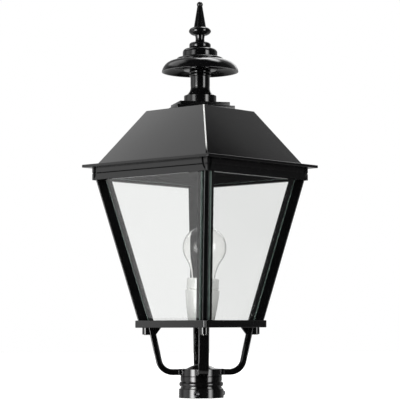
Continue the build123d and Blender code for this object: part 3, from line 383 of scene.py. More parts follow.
# ---------------------------------------------------------------- arm hub
# A thick disc welded on the sleeve, with a low cone on top and four square collars that the
# bracket arms are driven into. The weld is dressed down to a fine groove.
hub_section = [
    (7.0, 30.4),
    (28.9, 30.4),
    (29.7, 30.9),
    (29.7, 41.2, 0.8),
    (22.0, 41.2, 0.6),
    (12.5, 45.7, 0.6),
    (7.0, 45.7),
]
arm_level = 36.8
corner_angles = {"front_right": -45, "rear_right": 45, "rear_left": 135, "front_left": 225}
collars = []
for angle in corner_angles.values():
    collar = bmesh.new()
    bmesh.ops.create_cube(collar, size=1.0)
    bmesh.ops.scale(collar, vec=Vector((12.6, 16.6, 8.8)) * mm, verts=collar.verts)
    bmesh.ops.bevel(
        collar, geom=collar.edges[:], offset=0.7 * mm, segments=3, profile=0.5, affect="EDGES", material=-1
    )
    seat = facing(angle) @ Matrix.Translation(Vector((26.3, 0, arm_level)) * mm)
    bmesh.ops.transform(collar, matrix=seat, verts=collar.verts)
    collars.append(collar)
hub = carved(turned(hub_section, sides=128), collars, "UNION")
fitted(hub, "arm_hub_turned", "lantern_body", ["arm_hub"], [black_cast])

# ---------------------------------------------------------------- cable bush
# A soft black rubber bush pressed into the cone's hole, where the supply lead comes up the post.
# It is moulded, matt and slightly dusty.


def moulded(name, base, other, rough, spread, scale, bump, **extra):
    """A plain moulded, glazed or metal finish, with two close tones and an uneven surface."""
    finish = bpy.data.materials.new(name)
    tree = Tree(finish)
    place = tree.node("ShaderNodeTexCoord", {}, {}, "Object")
    cloud = tree.node(
        "ShaderNodeTexNoise", {}, {"Vector": place, "Scale": scale, "Detail": 5.0, "Roughness": 0.6}
    )
    grain = tree.node("ShaderNodeTexNoise", {}, {"Vector": place, "Scale": scale * 14, "Detail": 2.0})
    mask = cloud.steps(0.3, 0.7)
    colour = tree.node("ShaderNodeMix", {"data_type": "RGBA"}, {0: mask, 6: (*base, 1), 7: (*other, 1)}, 2)
    relief = tree.node("ShaderNodeBump", {}, {"Strength": bump, "Distance": 0.0002, "Height": grain})
    sockets = {"Base Color": colour, "Roughness": rough + mask * spread, "Normal": relief, **extra}
    skin = tree.node("ShaderNodeBsdfPrincipled", {}, sockets)
    tree.node("ShaderNodeOutputMaterial", {}, {"Surface": skin})
    return finish


bush_rubber = moulded("bush_rubber", (0.012, 0.012, 0.012), (0.03, 0.029, 0.028), 0.55, 0.2, 90.0, 0.25)
bush_section = [(4.5, 30.4), (7.0, 30.4), (7.0, 45.7), (9.5, 45.7), (9.5, 47.3, 0.8), (4.5, 47.3, 0.4)]
fitted(
    turned(bush_section, sides=64), "cable_bush_moulded", "lantern_body", ["cable_grommet"],
    [bush_rubber], edge=0.1
)

# ---------------------------------------------------------------- set screws
# Three socket set screws, threaded through the foot band at 120 degrees, clamp the post.
# They are blackened steel, with a chamfered head and a hexagonal socket.
screw_steel = moulded(
    "blackened_screw_steel", (0.14, 0.14, 0.15), (0.22, 0.22, 0.23), 0.24, 0.15, 160.0, 0.2, Metallic=0.9
)
thread_pitch = 1.25
for number, angle in enumerate(screw_angles, 1):
    threads = [(0, 25.2), (2.6, 25.2), (3.4, 26.0)]
    for turn in range(5):
        crest = 26.6 + turn * thread_pitch
        threads += [(4.0, crest), (4.0, crest + 0.15), (3.4, crest + thread_pitch - 0.55)]
    threads += [(4.0, 33.0), (4.0, 33.9), (2.1, 35.8), (0, 35.8)]
    body = turned(threads, closed=False, sides=48)
    socket = turned([(0, 32.8), (2.0, 32.8), (2.0, 36.5), (0, 36.5)], closed=False, sides=6)
    fitted(
        carved(body, [socket]), f"set_screw_{number}_threaded", f"set_screw_{number}",
        [f"set_screw_{number}"], [screw_steel], seat=screw_aim(angle), edge=0.05
    )

# ---------------------------------------------------------------- bracket arms
# Four steel arms, flat outside and rounded inside, bent up from the hub to the base frame. Each
# ends in a forged foot with a round boss, bored from below for its bolt.


def verts_of(geometry):
    """The vertices among what a mesh operator made."""
    return [g for g in geometry if isinstance(g, bmesh.types.BMVert)]


arm_start, bend_start, bend_radius, arm_lean = 19.0, 41.01, 19.6, 12.4
frame_foot = 99.7
arm_section = [(7.3, -4.4, 1.4), (7.3, 1.8), (-7.3, 1.8, 0, 2.6), (-7.3, -4.4, 1.4)]
boss_reach, boss_foot, boss_radius = 77.4, 90.0, 6.6
for corner, angle in corner_angles.items():
    arm = bmesh.new()
    verts = [arm.verts.new(Vector((arm_start, p.x, p.z + arm_level)) * mm) for p in half_section(arm_section)]
    edges = [arm.edges.new(pair) for pair in zip(verts, verts[1:] + verts[:1])]
    straight = bmesh.ops.extrude_edge_only(arm, edges=edges)["geom"]
    bmesh.ops.translate(arm, vec=((bend_start - arm_start) * mm, 0, 0), verts=verts_of(straight))
    ring = [g for g in straight if not isinstance(g, bmesh.types.BMFace)]
    centre = Vector((bend_start, 0, arm_level + bend_radius)) * mm
    last = bmesh.ops.spin(
        arm, geom=ring, cent=centre, axis=(0, -1, 0), angle=math.radians(90 - arm_lean), steps=22
    )["geom_last"]
    rising = bmesh.ops.extrude_edge_only(
        arm, edges=[g for g in last if isinstance(g, bmesh.types.BMEdge)]
    )["geom"]
    climb = Vector((math.sin(math.radians(arm_lean)), 0, math.cos(math.radians(arm_lean)))) * 70 * mm
    bmesh.ops.translate(arm, vec=climb, verts=verts_of(rising))
    bmesh.ops.remove_doubles(arm, verts=arm.verts, dist=0.002 * mm)
    bmesh.ops.bisect_plane(
        arm, geom=arm.verts[:] + arm.edges[:] + arm.faces[:], plane_co=(0, 0, frame_foot * mm),
        plane_no=(0, 0, 1), clear_outer=True
    )
    bmesh.ops.holes_fill(arm, edges=arm.edges[:], sides=0)
    bmesh.ops.recalc_face_normals(arm, faces=arm.faces)
    foot = bmesh.new()
    outline = ((57.4, frame_foot), (boss_reach, frame_foot), (boss_reach, boss_foot), (64.4, boss_foot))
    side = [foot.verts.new(Vector((reach, -boss_radius, height)) * mm) for reach, height in outline]
    web = bmesh.ops.extrude_face_region(foot, geom=[foot.faces.new(side)])["geom"]
    bmesh.ops.translate(foot, vec=(0, 2 * boss_radius * mm, 0), verts=verts_of(web))
    bmesh.ops.recalc_face_normals(foot, faces=foot.faces)
    rims = [
        edge for edge in foot.edges if all(
            v.co.z < 99 * mm for v in edge.verts
        ) or all(v.co.x < 65 * mm for v in edge.verts)
    ]
    bmesh.ops.bevel(foot, geom=rims, offset=0.9 * mm, segments=3, profile=0.5, affect="EDGES", material=-1)
    boss_section = [(0, boss_foot), (boss_radius, boss_foot, 0.9), (boss_radius, frame_foot), (0, frame_foot)]
    boss = turned(boss_section, closed=False, sides=64)
    bmesh.ops.translate(boss, vec=(boss_reach * mm, 0, 0), verts=boss.verts)
    bore = turned(
        [(0, 88.0), (4.5, 88.0), (4.5, 94.35), (2.75, 94.35), (2.75, 101.0), (0, 101.0)], closed=False,
        sides=48
    )
    bmesh.ops.translate(bore, vec=(boss_reach * mm, 0, 0), verts=bore.verts)
    whole = carved(carved(arm, [foot, boss], "UNION"), [bore])
    bmesh.ops.recalc_face_normals(whole, faces=whole.faces)
    fitted(
        whole, f"arm_{corner}_bent", "lantern_body", [f"arm_{corner}"], [black_cast],
        seat=facing(angle), edge=0.0
    )

# ---------------------------------------------------------------- arm bolts
# Four socket-head bolts go up through the bosses into the base frame. Their heads are round,
# knurled and zinc plated, and stand just proud of the bosses.
zinc = moulded(
    "zinc_plated_steel", (0.42, 0.42, 0.40), (0.30, 0.30, 0.30), 0.30, 0.2, 120.0, 0.15, Metallic=1.0
)


def gathered(shapes):
    """Several closed shapes as one, for a set of like pieces."""
    whole = bmesh.new()
    for shape in shapes:
        mesh = bpy.data.meshes.new("one")
        shape.to_mesh(mesh)
        shape.free()
        whole.from_mesh(mesh)
        bpy.data.meshes.remove(mesh)
    return whole


bolts = []
for angle in corner_angles.values():
    bolt = turned(
        [
            (0, 89.35), (3.9, 89.35), (4.25, 89.7), (4.25, 94.35, 0.2), (2.5, 94.35), (2.5, 105.0),
            (2.0, 105.5), (0, 105.5)
        ],
        closed=False,
        sides=48,
    )
    socket = turned([(0, 88.0), (2.5, 88.0), (2.5, 91.85), (0, 91.85)], closed=False, sides=6)
    bolt = carved(bolt, [socket])
    seat = facing(angle) @ Matrix.Translation((boss_reach * mm, 0, 0))
    bmesh.ops.transform(bolt, matrix=seat, verts=bolt.verts)
    bolts.append(bolt)
fitted(
    gathered(bolts), "arm_bolts_socket_head", "lantern_body", ["arm_bolts"], [zinc], edge=0.1
)

# ---------------------------------------------------------------- base frame
# The square cast frame that carries the cage: rounded outside, open in the middle with a ledge
# for its plate, and grooved round its top for the panes.
base_section = [
    (44.0, 99.7, 0.3),
    (67.5, 99.7, 0.6),
    (67.5, 110.1, 0.6),
    (59.3, 110.1, 0.2),
    (59.3, 107.1),
    (53.98, 107.1),
    (53.98, 110.1, 0.2),
    (50.0, 110.1, 0.3),
    (50.0, 103.0),
    (44.0, 103.0, 0.3),
]
bar_screw_reach = 86.6
countersinks = []
for angle in corner_angles.values():
    sink = turned(
        [(0, 99.0), (3.62, 99.0), (3.62, 99.7), (2.1, 101.3), (2.1, 106.0), (0, 106.0)], closed=False,
        sides=40
    )
    bmesh.ops.transform(
        sink, matrix=facing(angle) @ Matrix.Translation((bar_screw_reach * mm, 0, 0)), verts=sink.verts
    )
    countersinks.append(sink)
base = carved(turned(base_section, sides=4, square_rounding=3.4), countersinks)
fitted(
    base, "base_frame_cast", "lantern_body", ["base_frame"], [black_cast], edge=0.0, crease=25
)

# ---------------------------------------------------------------- bar screws
# Countersunk screws come up through the base frame's corners into the corner bars. Only their
# flat slotted heads show, from below.

def slot_cutter(length, width, level):
    """A bar that cuts a driver's slot across a screw head."""
    cutter = bmesh.new()
    bmesh.ops.create_cube(cutter, size=1.0)
    bmesh.ops.scale(cutter, vec=Vector((length, width, 1.6)) * mm, verts=cutter.verts)
    bmesh.ops.translate(cutter, vec=Vector((0, 0, level)) * mm, verts=cutter.verts)
    return cutter


screws = []
for angle in corner_angles.values():
    screw = turned(
        [(0, 99.75), (3.5, 99.75), (3.5, 99.85), (2.0, 101.3), (2.0, 120.6), (1.5, 121.1), (0, 121.1)],
        closed=False, sides=40
    )
    screw = carved(screw, [slot_cutter(9.0, 1.0, 99.7)])
    bmesh.ops.transform(
        screw, matrix=facing(angle) @ Matrix.Translation((bar_screw_reach * mm, 0, 0)), verts=screw.verts
    )
    screws.append(screw)
fitted(
    gathered(screws), "bar_screws_slotted", "lantern_body", ["bar_screws"], [zinc], edge=0.05
)

# ---------------------------------------------------------------- base plate
# A pressed steel plate, lacquered black, lies on the base frame's ledge and carries the
# lampholder. Four small domed screws hold its corners.
black_sheet = enamel("black_sheet_enamel", 800.0, 0.13, 0.2)
plate_hole = turned([(0, 102.0), (5.25, 102.0), (5.25, 106.5), (0, 106.5)], closed=False, sides=48)
plate = carved(
    turned(
        [(0, 103.0), (49.5, 103.0), (49.5, 105.5), (0, 105.5)], closed=False, sides=4, square_rounding=1.0
    ),
    [plate_hole]
)
fitted(plate, "base_plate_pressed", "lantern_body", ["base_plate"], [black_sheet], edge=0.25)

plate_screws = []
for across_way in (-46.8, 46.8):
    for along_way in (-46.8, 46.8):
        screw = turned(
            [(0, 99.8), (1.5, 99.8), (1.5, 105.5), (2.8, 105.5), (0.0, 107.3, 0, 0.75)], closed=False,
            sides=32
        )
        screw = carved(screw, [slot_cutter(7.0, 0.7, 107.3)])
        bmesh.ops.translate(screw, vec=Vector((across_way, along_way, 0)) * mm, verts=screw.verts)
        plate_screws.append(screw)
fitted(
    gathered(plate_screws), "base_plate_screws_domed", "lantern_body", ["base_plate_screws"],
    [zinc], edge=0.0
)

# ---------------------------------------------------------------- corner glazing bars
# Extruded bars lean outwards at the four corners. A rounded nose stands between two panes, and
# two flanges behind it back the glass.
black_gloss = enamel("black_gloss_enamel", 700.0, 0.12, 0.2)
bar_section = [
    (74.767, 0.0),
    (66.513, 8.255, 0.4),
    (67.958, 9.7, 0.4),
    (73.958, 3.7),
    (90.239, 3.7, 1.4),
    (90.239, -3.7, 1.4),
    (73.958, -3.7),
    (67.958, -9.7, 0.4),
    (66.513, -8.255, 0.4),
]
bar_foot, bar_head = 110.1, 315.0
cage_slope = 0.21086
for corner, angle in corner_angles.items():
    bar = bmesh.new()
    ring = [bar.verts.new(Vector((p.x, p.z, bar_foot)) * mm) for p in half_section(bar_section)]
    top = bmesh.ops.extrude_face_region(bar, geom=[bar.faces.new(ring)])["geom"]
    climb = Vector((cage_slope * math.sqrt(2), 0, 1)) * (bar_head - bar_foot) * mm
    bmesh.ops.translate(bar, vec=climb, verts=verts_of(top))
    bmesh.ops.recalc_face_normals(bar, faces=bar.faces)
    fitted(
        bar, f"bar_{corner}_extruded", "lantern_body", [f"bar_{corner}"], [black_gloss],
        seat=facing(angle), edge=0.0, crease=25
    )

# ---------------------------------------------------------------- panes
# Four panes of clear float glass, set in the base frame's groove and held behind the bars. The
# cut edges are ground, and show the green of the glass.
pane_glass = bpy.data.materials.new("clear_pane_glass")
tree = Tree(pane_glass)
place = tree.node("ShaderNodeTexCoord", {}, {}, "Object")
haze = tree.node("ShaderNodeTexNoise", {}, {"Vector": place, "Scale": 6.0, "Detail": 4.0}).steps(0.35, 0.8)
ripple = tree.node("ShaderNodeTexNoise", {}, {"Vector": place, "Scale": 9.0, "Detail": 1.0})
wave = tree.node("ShaderNodeBump", {}, {"Strength": 0.01, "Distance": 0.0002, "Height": ripple})
clear = tree.node(
    "ShaderNodeBsdfPrincipled",
    {},
    {
        "Base Color": (0.960, 0.966, 0.960, 1), "Roughness": haze * 0.001, "IOR": 1.5,
        "Transmission Weight": 1.0, "Normal": wave
    },
)
through = tree.node("ShaderNodeBsdfTransparent", {}, {"Color": (0.93, 0.95, 0.94, 1)})
shadow = tree.node("ShaderNodeLightPath", {}, {}, "Is Shadow Ray")
glass_skin = tree.node("ShaderNodeMixShader", {}, {0: shadow, 1: clear, 2: through})
tree.node("ShaderNodeOutputMaterial", {}, {"Surface": glass_skin})
ground_edge = moulded("ground_glass_edge", (0.20, 0.28, 0.25), (0.32, 0.41, 0.37), 0.35, 0.2, 60.0, 0.2)
face_angles = {"front": -90, "right": 0, "rear": 90, "left": 180}
glass_thick, cage_lean = 4.0, math.atan(cage_slope)
for face, angle in face_angles.items():
    pane = bmesh.new()
    outline = (
        (58.367, -48.750, 107.1), (58.367, 48.750, 107.1), (102.205, 92.588, 315.0), (102.205, -92.588, 315.0)
    )
    front = pane.faces.new([pane.verts.new(Vector(corner) * mm) for corner in outline])
    back = bmesh.ops.extrude_face_region(pane, geom=[front])["geom"]
    inwards = Vector((-math.cos(cage_lean), 0, math.sin(cage_lean))) * glass_thick * mm
    bmesh.ops.translate(pane, vec=inwards, verts=verts_of(back))
    bmesh.ops.recalc_face_normals(pane, faces=pane.faces)
    bmesh.ops.bevel(
        pane, geom=pane.edges[:], offset=0.35 * mm, segments=1, profile=0.5, affect="EDGES", material=1
    )
    for side in pane.faces:
        side.material_index = 0 if side.calc_area() > 0.005 else 1
    fitted(
        pane, f"glass_{face}_pane", "lantern_body", [f"glass_{face}"],
        [pane_glass, ground_edge], seat=facing(angle), edge=0.0, crease=10
    )

# ---------------------------------------------------------------- top frame and hood skirt
# Two bands of one fascia, parted by a fine seam: the lower band is fixed to the bars, and the
# upper one lifts off with the roof. Hollows beside each corner leave a slim ridge.


def hollows():
    """The eight closed shapes that cut the hollows, two to a face."""
    tools = bmesh.new()
    pocket = [(106.5, 312.0), (99.7, 330.2, 0, -1.7), (106.5, 330.2)]
    outline = [tools.verts.new(Vector((112.0, p.x, p.z)) * mm) for p in half_section(pocket)]
    deep = bmesh.ops.extrude_face_region(tools, geom=[tools.faces.new(outline)])["geom"]
    bmesh.ops.translate(tools, vec=(-3.9 * mm, 0, 0), verts=verts_of(deep))
    bmesh.ops.mirror(tools, geom=tools.verts[:] + tools.edges[:] + tools.faces[:], axis="Y", merge_dist=-1)
    bmesh.ops.spin(
        tools, geom=tools.faces[:], cent=(0, 0, 0), axis=(0, 0, 1), angle=1.5 * math.pi, steps=3,
        use_duplicate=True
    )
    bmesh.ops.recalc_face_normals(tools, faces=tools.faces)
    return tools


frame_section = [
    (102.23, 311.2),
    (110.1, 311.2),
    (110.1, 319.9),
    (109.35, 321.4),
    (106.6, 321.4),
    (106.6, 313.7),
    (102.23, 313.7),
]
top_frame = carved(turned(frame_section, sides=4), [hollows()])
fitted(top_frame, "top_frame_band", "lantern_body", ["top_frame"], [black_gloss], edge=0.3)
skirt_section = [
    (104.1, 318.0),
    (106.3, 318.0),
    (106.3, 321.4),
    (109.6, 321.4),
    (110.1, 321.9),
    (110.1, 329.2),
    (104.1, 329.2),
]
skirt = carved(turned(skirt_section, sides=4), [hollows()])
fitted(skirt, "hood_skirt_band", "hood", ["hood_skirt"], [black_gloss], edge=0.3)

# ---------------------------------------------------------------- eave flange
# A thin square plate stands out all round under the roof, with a rounded rim.
# It is welded to the skirt and lacquered with it.
flange = turned(
    [(103.0, 329.2), (120.7, 329.2, 0.9), (120.7, 333.4, 0.9), (103.0, 333.4)], sides=4, square_rounding=0.9
)
fitted(
    flange, "eave_flange_plate", "hood", ["eave_flange"], [black_gloss], edge=0.0, crease=25
)

# ---------------------------------------------------------------- roof
# A hollow pyramid of four sheets, welded and ground round at the hips, and closed by a flat
# plate. Along the upper hips a pale line is painted in: a painted highlight.
roof_section = [(0, 408.4), (54.73, 408.4), (103.0, 333.4), (106.0, 333.4), (55.8, 411.4, 1.3), (0, 411.4)]
roof = turned(roof_section, closed=False, sides=4, square_rounding=2.2)


def painted_hip_highlight(tree, place):
    """A mask for the fine line along each upper hip, where a pale painted highlight goes."""
    x, y, z = (tree.node("ShaderNodeSeparateXYZ", {}, {0: place}, axis) for axis in range(3))
    off_hip = x.maths("ABSOLUTE", x.maths("ABSOLUTE", x) - y.maths("ABSOLUTE", y))
    return off_hip.steps(1.5 * mm, 0.9 * mm) * z.steps(338 * mm, 352 * mm)


hip_enamel = enamel("hip_highlight_enamel", 700.0, 0.12, 0.2, painted_hip_highlight)
roof_nodes = ["roof_front", "roof_right", "roof_rear", "roof_left", "roof_top_plate"]
fitted(roof, "roof_pyramid", "hood", roof_nodes, [hip_enamel], edge=0.0, crease=25)

# ---------------------------------------------------------------- chimney plates
# Two oblong plates, one on the other, carry the chimney. They stand turned against the roof,
# and their upper edges are eased.
chimney_turn = facing(57.0)
plates = {
    "chimney_lower_plate": (85.4, 66.0, 411.4, 416.8), "chimney_upper_plate": (74.0, 54.0, 416.8, 422.5)
}
for name, (width, depth, foot, head) in plates.items():
    outline = [(0, foot), (width / 2, foot, 0.2), (width / 2, head, 0.7), (0, head)]
    plate = turned(outline, closed=False, sides=4, square_rounding=0.7)
    bmesh.ops.scale(plate, vec=(1, depth / width, 1), verts=plate.verts)
    fitted(
        plate, f"{name}_eased", "hood", [name], [black_gloss], seat=chimney_turn, edge=0.0,
        crease=25
    )

# ---------------------------------------------------------------- chimney column
# One turning: a pedestal disc, a flare that sweeps in to the shaft, and two bead rings at its
# head. It is bored through for the tie rod.
column_section = [
    (7.0, 422.5),
    (23.4, 422.5, 0.7),
    (23.4, 433.7, 0.7),
    (22.0, 433.7),
    (14.0, 448.3, 0, -2.9),
    (14.0, 461.5),
    (14.0, 466.0, 0, 1.7),
    (14.0, 470.5, 0, 1.7),
    (7.0, 470.5),
]
fitted(
    turned(column_section, sides=112), "chimney_column_turned", "hood", ["chimney_column"],
    [black_gloss], edge=0.15
)
fitted(
    turned([(3.1, 470.5), (24.6, 470.5, 2.2), (24.6, 477.1, 2.2), (3.1, 477.1)], sides=112),
    "chimney_collar_turned",
    "hood",
    ["chimney_collar"],
    [black_gloss],
    edge=0.0,
)

# ---------------------------------------------------------------- dome cap
# A spun dome, hollow under its thin rim, with a rounded ledge on its shoulder.
# Two turned rings stand on it, each with a rounded shoulder.
dome_section = [
    (3.1, 477.1),
    (31.9, 477.1),
    (52.9, 468.5, 0, -3.58),
    (55.5, 468.5),
    (34.5, 484.8, 0, 5.38),
    (34.4, 484.8),
    (34.4, 489.2, 3.3),
    (3.1, 489.2),
]
fitted(
    turned(dome_section, sides=144), "dome_cap_spun", "hood", ["dome_cap"], [black_gloss],
    edge=0.25
)
ring_lower = [(3.1, 489.2), (27.1, 489.2), (25.1, 491.2, 0, -0.58), (25.1, 502.25, 5.5), (3.1, 502.25)]
fitted(
    turned(ring_lower, sides=112), "cap_ring_lower_turned", "hood", ["cap_ring_lower"],
    [black_gloss], edge=0.1
)
ring_upper = [(3.1, 502.25), (15.6, 502.25, 3.88), (15.6, 511.5, 3.88), (3.1, 511.5)]
fitted(
    turned(ring_upper, sides=96), "cap_ring_upper_turned", "hood", ["cap_ring_upper"],
    [black_gloss], edge=0.0
)

# ---------------------------------------------------------------- finial
# Stem, bead, spire and ball in one turning. It is drilled and tapped from below, and screws
# down on the tie rod to hold the whole stack.
finial_section = [
    (0, 527.3),
    (3.1, 527.3),
    (3.1, 511.5),
    (7.4, 511.5),
    (7.4, 522.2, 0, -1.0),
    (16.0, 527.2, 0, 1.5),
    (16.0, 528.6),
    (9.5, 533.3, 0, 1.5),
    (9.0, 533.3),
    (3.7, 564.9),
    (4.4, 567.28, 0, 0.179),
    (0, 571.68, 0, 1.289),
]
fitted(
    turned(finial_section, closed=False, sides=96), "finial_turned", "finial", ["finial"],
    [black_gloss], edge=0.15
)

# ---------------------------------------------------------------- tie rod
# A zinc-plated rod, threaded at both ends, runs up the chimney from a nut and a wide washer
# under the roof's top plate into the finial.


def thread(radius, start, end, pitch):
    """Corners of a rolled thread from one height to the next."""
    crests = int((end - start) / pitch)
    corners = []
    for crest in range(crests):
        foot = start + crest * pitch
        corners += [(radius - pitch * 0.5, foot), (radius, foot + pitch * 0.45), (radius, foot + pitch * 0.6)]
    return corners + [(radius - pitch * 0.5, start + crests * pitch)]


rod = [(0, 397.4), (2.2, 397.4)] + thread(3.0, 398.0, 408.0, 1.0) + [(3.0, 409.0), (3.0, 508.5)]
rod += thread(3.0, 509.5, 526.5, 1.0) + [(2.2, 527.2), (0, 527.2)]
fitted(
    turned(rod, closed=False, sides=32), "tie_rod_threaded", "hood", ["tie_rod"], [zinc],
    edge=0.0
)
washer = turned([(3.0, 406.4), (17.0, 406.4, 0.5), (17.0, 408.4, 0.3), (3.0, 408.4)], sides=64)
fitted(washer, "tie_washer_stamped", "hood", ["tie_washer"], [zinc], edge=0.0)


def nut(flats, bore, foot, head):
    """A hexagon nut with its corners chamfered and its bore cut through."""
    blank = turned([(0, foot), (flats / 2, foot), (flats / 2, head), (0, head)], closed=False, sides=6)
    lathe = turned(
        [
            (0, foot), (flats / 2, foot), (flats / 2 * 1.16, foot + flats * 0.06), (flats / 2 * 1.16, head),
            (0, head)
        ],
        closed=False, sides=64
    )
    hole = turned(
        [(0, foot - 1), (bore / 2, foot - 1), (bore / 2, head + 1), (0, head + 1)], closed=False, sides=40
    )
    return carved(carved(blank, [lathe], "INTERSECT"), [hole])


fitted(nut(10.0, 6.0, 401.4, 406.4), "tie_nut_hexagon", "hood", ["tie_nut"], [zinc], edge=0.1)

# ---------------------------------------------------------------- lampholder
# Two parts of glazed white porcelain round a brass screw shell, held on the base plate by a
# hollow threaded stem, a washer and a nut. The whole stands slightly out of true.
porcelain = moulded(
    "glazed_porcelain", (0.95, 0.94, 0.92), (0.90, 0.89, 0.87), 0.12, 0.12, 40.0, 0.06,
    **{"Coat Weight": 0.4, "Coat Roughness": 0.06}
)
brass = moulded("holder_brass", (0.62, 0.46, 0.20), (0.50, 0.36, 0.15), 0.26, 0.2, 140.0, 0.12, Metallic=1.0)
lamp_foot = 106.7
lamp_lean = math.radians(2.8)
lean_to = Vector((1, 1, 0)).normalized() * math.sin(lamp_lean) + Vector((0, 0, math.cos(lamp_lean)))
lamp_turn = Vector((0, 0, 1)).rotation_difference(lean_to).to_matrix().to_4x4()
lamp_seat = Matrix.Translation((0, 0, lamp_foot * mm)) @ lamp_turn
body_section = [
    (5.0, -1.2),
    (16.8, -1.2),
    (22.9, 41.8, 0, 0.64),
    (22.9, 47.0, 0.3),
    (20.4, 47.2),
    (20.4, 47.8),
    (14.1, 47.8),
    (14.1, 30.0),
    (7.5, 30.0),
    (7.5, 12.0),
    (5.0, 12.0),
]
holder_body = turned(body_section, sides=112)
bmesh.ops.transform(holder_body, matrix=lamp_seat, verts=holder_body.verts)
level = Matrix.Translation((0, 0, lamp_foot * mm)).translation
bmesh.ops.bisect_plane(
    holder_body, geom=holder_body.verts[:] + holder_body.edges[:] + holder_body.faces[:], plane_co=level,
    plane_no=(0, 0, 1), clear_inner=True
)
bmesh.ops.holes_fill(holder_body, edges=holder_body.edges[:], sides=0)
bmesh.ops.recalc_face_normals(holder_body, faces=holder_body.faces)
fitted(holder_body, "holder_body_glazed", "lantern_body", ["holder_body"], [porcelain], edge=0.3)
collar_section = [
    (14.1, 47.8),
    (20.4, 47.8),
    (20.4, 48.2),
    (21.6, 48.5),
    (21.6, 62.4, 0.6),
    (20.2, 63.8, 0.5),
    (17.2, 63.8, 0.5),
    (17.2, 57.6),
    (14.1, 57.6),
]
fitted(
    turned(collar_section, sides=112), "holder_collar_glazed", "lantern_body", ["holder_collar"],
    [porcelain], seat=lamp_seat, edge=0.2
)
cap_thread_pitch = 3.63
shell_section = [(14.05, 57.4), (14.05, 30.0), (13.95, 30.0), (13.95, 34.0)]
shell_section += [
    (13.95, 34.0 + cap_thread_pitch * (turn + 1), 0, 0.4) for turn in range(6)
] + [(13.95, 57.4)]
fitted(
    turned(shell_section, sides=96), "holder_shell_pressed", "lantern_body", ["holder_shell"],
    [brass], seat=lamp_seat, edge=0.0, crease=60
)
spring = bmesh.new()
strip_line = [
    (-9, 30.0), (-4.5, 30.0), (0, 31.8), (4.5, 31.8), (4.5, 32.4), (0, 32.4), (-4.5, 30.6), (-9, 30.6)
]
strip_face = spring.faces.new([spring.verts.new(Vector((x, -3, t)) * mm) for x, t in strip_line])
wide = bmesh.ops.extrude_face_region(spring, geom=[strip_face])["geom"]
bmesh.ops.translate(spring, vec=(0, 6 * mm, 0), verts=verts_of(wide))
bmesh.ops.recalc_face_normals(spring, faces=spring.faces)
face_round = facing(135)
fitted(
    spring, "holder_contact_strip", "lantern_body", ["holder_contact"], [brass],
    seat=lamp_seat @ face_round, edge=0.1
)
nipple = [(3.5, 98.5)] + thread(5.0, 98.6, 103.0, 1.0) + [
    (5.0, 104.0), (5.0, 119.0), (4.6, 119.5), (3.5, 119.5)
]
fitted(
    turned(nipple, sides=48), "holder_nipple_threaded", "lantern_body", ["holder_nipple"],
    [zinc], edge=0.0
)
fitted(
    nut(14.0, 10.0, 99.6, 103.0), "holder_nut_hexagon", "lantern_body", ["holder_nut"], [zinc],
    edge=0.1
)
ring = turned([(5.0, 105.5), (11.0, 105.5, 0.3), (11.0, 106.7, 0.3), (5.0, 106.7)], sides=64)
fitted(ring, "holder_washer_stamped", "lantern_body", ["holder_washer"], [zinc], edge=0.0)

# ---------------------------------------------------------------- bulb
# A clear sixty millimetre lamp: a blown envelope on a nickelled screw cap, closed below by black
# glass with a soldered tip, and a glass stem that carries a thin coiled filament.
bulb_glass = bpy.data.materials.new("clear_bulb_glass")
tree = Tree(bulb_glass)
place = tree.node("ShaderNodeTexCoord", {}, {}, "Object")
streaks = tree.node("ShaderNodeTexNoise", {}, {"Vector": place, "Scale": 30.0, "Detail": 3.0}).steps(0.4, 0.8)
clear = tree.node(
    "ShaderNodeBsdfPrincipled",
    {},
    {
        "Base Color": (0.992, 0.990, 0.982, 1), "Roughness": streaks * 0.01, "IOR": 1.22,
        "Transmission Weight": 1.0
    },
)
through = tree.node("ShaderNodeBsdfTransparent", {}, {"Color": (0.94, 0.95, 0.95, 1)})
shadow = tree.node("ShaderNodeLightPath", {}, {}, "Is Shadow Ray")
glass_skin = tree.node("ShaderNodeMixShader", {}, {0: shadow, 1: clear, 2: through})
tree.node("ShaderNodeOutputMaterial", {}, {"Surface": glass_skin})
envelope_section = [
    (0, 58.4),
    (11.8, 58.4),
    (11.8, 59.4),
    (15.5, 61.0),
    (24.825, 91.357, 0, -2.384),
    (30.0, 108.2, 0, 1.323),
    (0, 138.2, 0, 8.787),
]
envelope = turned(envelope_section, closed=False, sides=112)
fitted(
    envelope, "bulb_envelope_blown", "bulb", ["bulb_glass"], [bulb_glass], seat=lamp_seat,
    edge=0.0, crease=60, wall=0.5
)
stem_section = [(0, 59.45), (7.0, 59.45), (3.5, 73.4, 0, -2.2), (3.5, 94.4, 1.2), (0, 94.4)]
fitted(
    turned(stem_section, closed=False, sides=64), "bulb_stem_drawn", "bulb", ["bulb_stem"],
    [bulb_glass], seat=lamp_seat, edge=0.0, crease=60
)
nickel = moulded(
    "bulb_cap_nickel", (0.66, 0.64, 0.60), (0.55, 0.53, 0.50), 0.20, 0.15, 150.0, 0.1, Metallic=1.0
)
cap_section = [(11.85, 37.4), (12.3, 37.4)] + [
    (12.3, 37.4 + cap_thread_pitch * (turn + 1), 0, 0.9) for turn in range(5)
]
cap_section += [(13.2, 59.3), (11.85, 59.3)]
fitted(
    turned(cap_section, sides=96), "bulb_cap_rolled", "bulb", ["bulb_cap"], [nickel],
    seat=lamp_seat, edge=0.0, crease=60
)
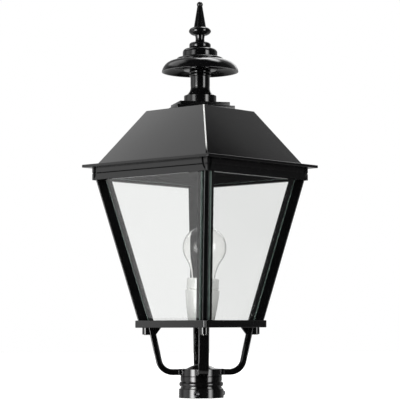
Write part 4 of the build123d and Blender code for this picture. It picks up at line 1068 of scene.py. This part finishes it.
black_glass = moulded("bulb_black_glass", (0.010, 0.009, 0.012), (0.02, 0.018, 0.024), 0.12, 0.1, 90.0, 0.05)
insulator_section = [(0, 33.7), (4.5, 33.7), (11.8, 36.1), (11.8, 38.7), (0, 38.7)]
fitted(
    turned(insulator_section, closed=False, sides=64), "bulb_insulator_glass", "bulb",
    ["bulb_insulator"], [black_glass], seat=lamp_seat, edge=0.2
)
solder = moulded("bulb_solder", (0.55, 0.55, 0.54), (0.40, 0.40, 0.40), 0.35, 0.2, 200.0, 0.3, Metallic=0.9)
fitted(
    turned([(0, 32.4), (4.5, 32.4, 0.65), (4.5, 33.7), (0, 33.7)], closed=False, sides=48),
    "bulb_tip_soldered", "bulb", ["bulb_tip"], [solder], seat=lamp_seat, edge=0.1
)
wire = moulded(
    "bulb_filament_wire", (0.20, 0.19, 0.18), (0.30, 0.29, 0.27), 0.35, 0.2, 300.0, 0.1, Metallic=1.0
)
filament_line = bpy.data.curves.new("filament_line", "CURVE")
filament_line.dimensions = "3D"
filament_line.bevel_depth, filament_line.bevel_resolution = 0.45 * mm, 3
filament_line.use_fill_caps = True
path = filament_line.splines.new("POLY")
route = [
    (-1.75, 93.0), (-12.4, 111.6), (-12.0, 112.9), (0, 116.7), (12.0, 112.9), (12.4, 111.6), (1.75, 93.0)
]
path.points.add(len(route) - 1)
for point, (x, t) in zip(path.points, route):
    point.co = (x * mm, 0, t * mm, 1)
holder = bpy.data.objects.new("filament_line", filament_line)
bpy.context.scene.collection.objects.link(holder)
bpy.context.view_layer.update()
drawn = bpy.data.meshes.new_from_object(holder.evaluated_get(bpy.context.evaluated_depsgraph_get()))
filament = bmesh.new()
filament.from_mesh(drawn)
bpy.data.objects.remove(holder)
bpy.data.meshes.remove(drawn)
bmesh.ops.remove_doubles(filament, verts=filament.verts, dist=0.001 * mm)
bmesh.ops.recalc_face_normals(filament, faces=filament.faces)
fitted(
    filament, "bulb_filament_wire", "bulb", ["bulb_filament"], [wire],
    seat=lamp_seat @ face_round, edge=0.0, crease=60
)
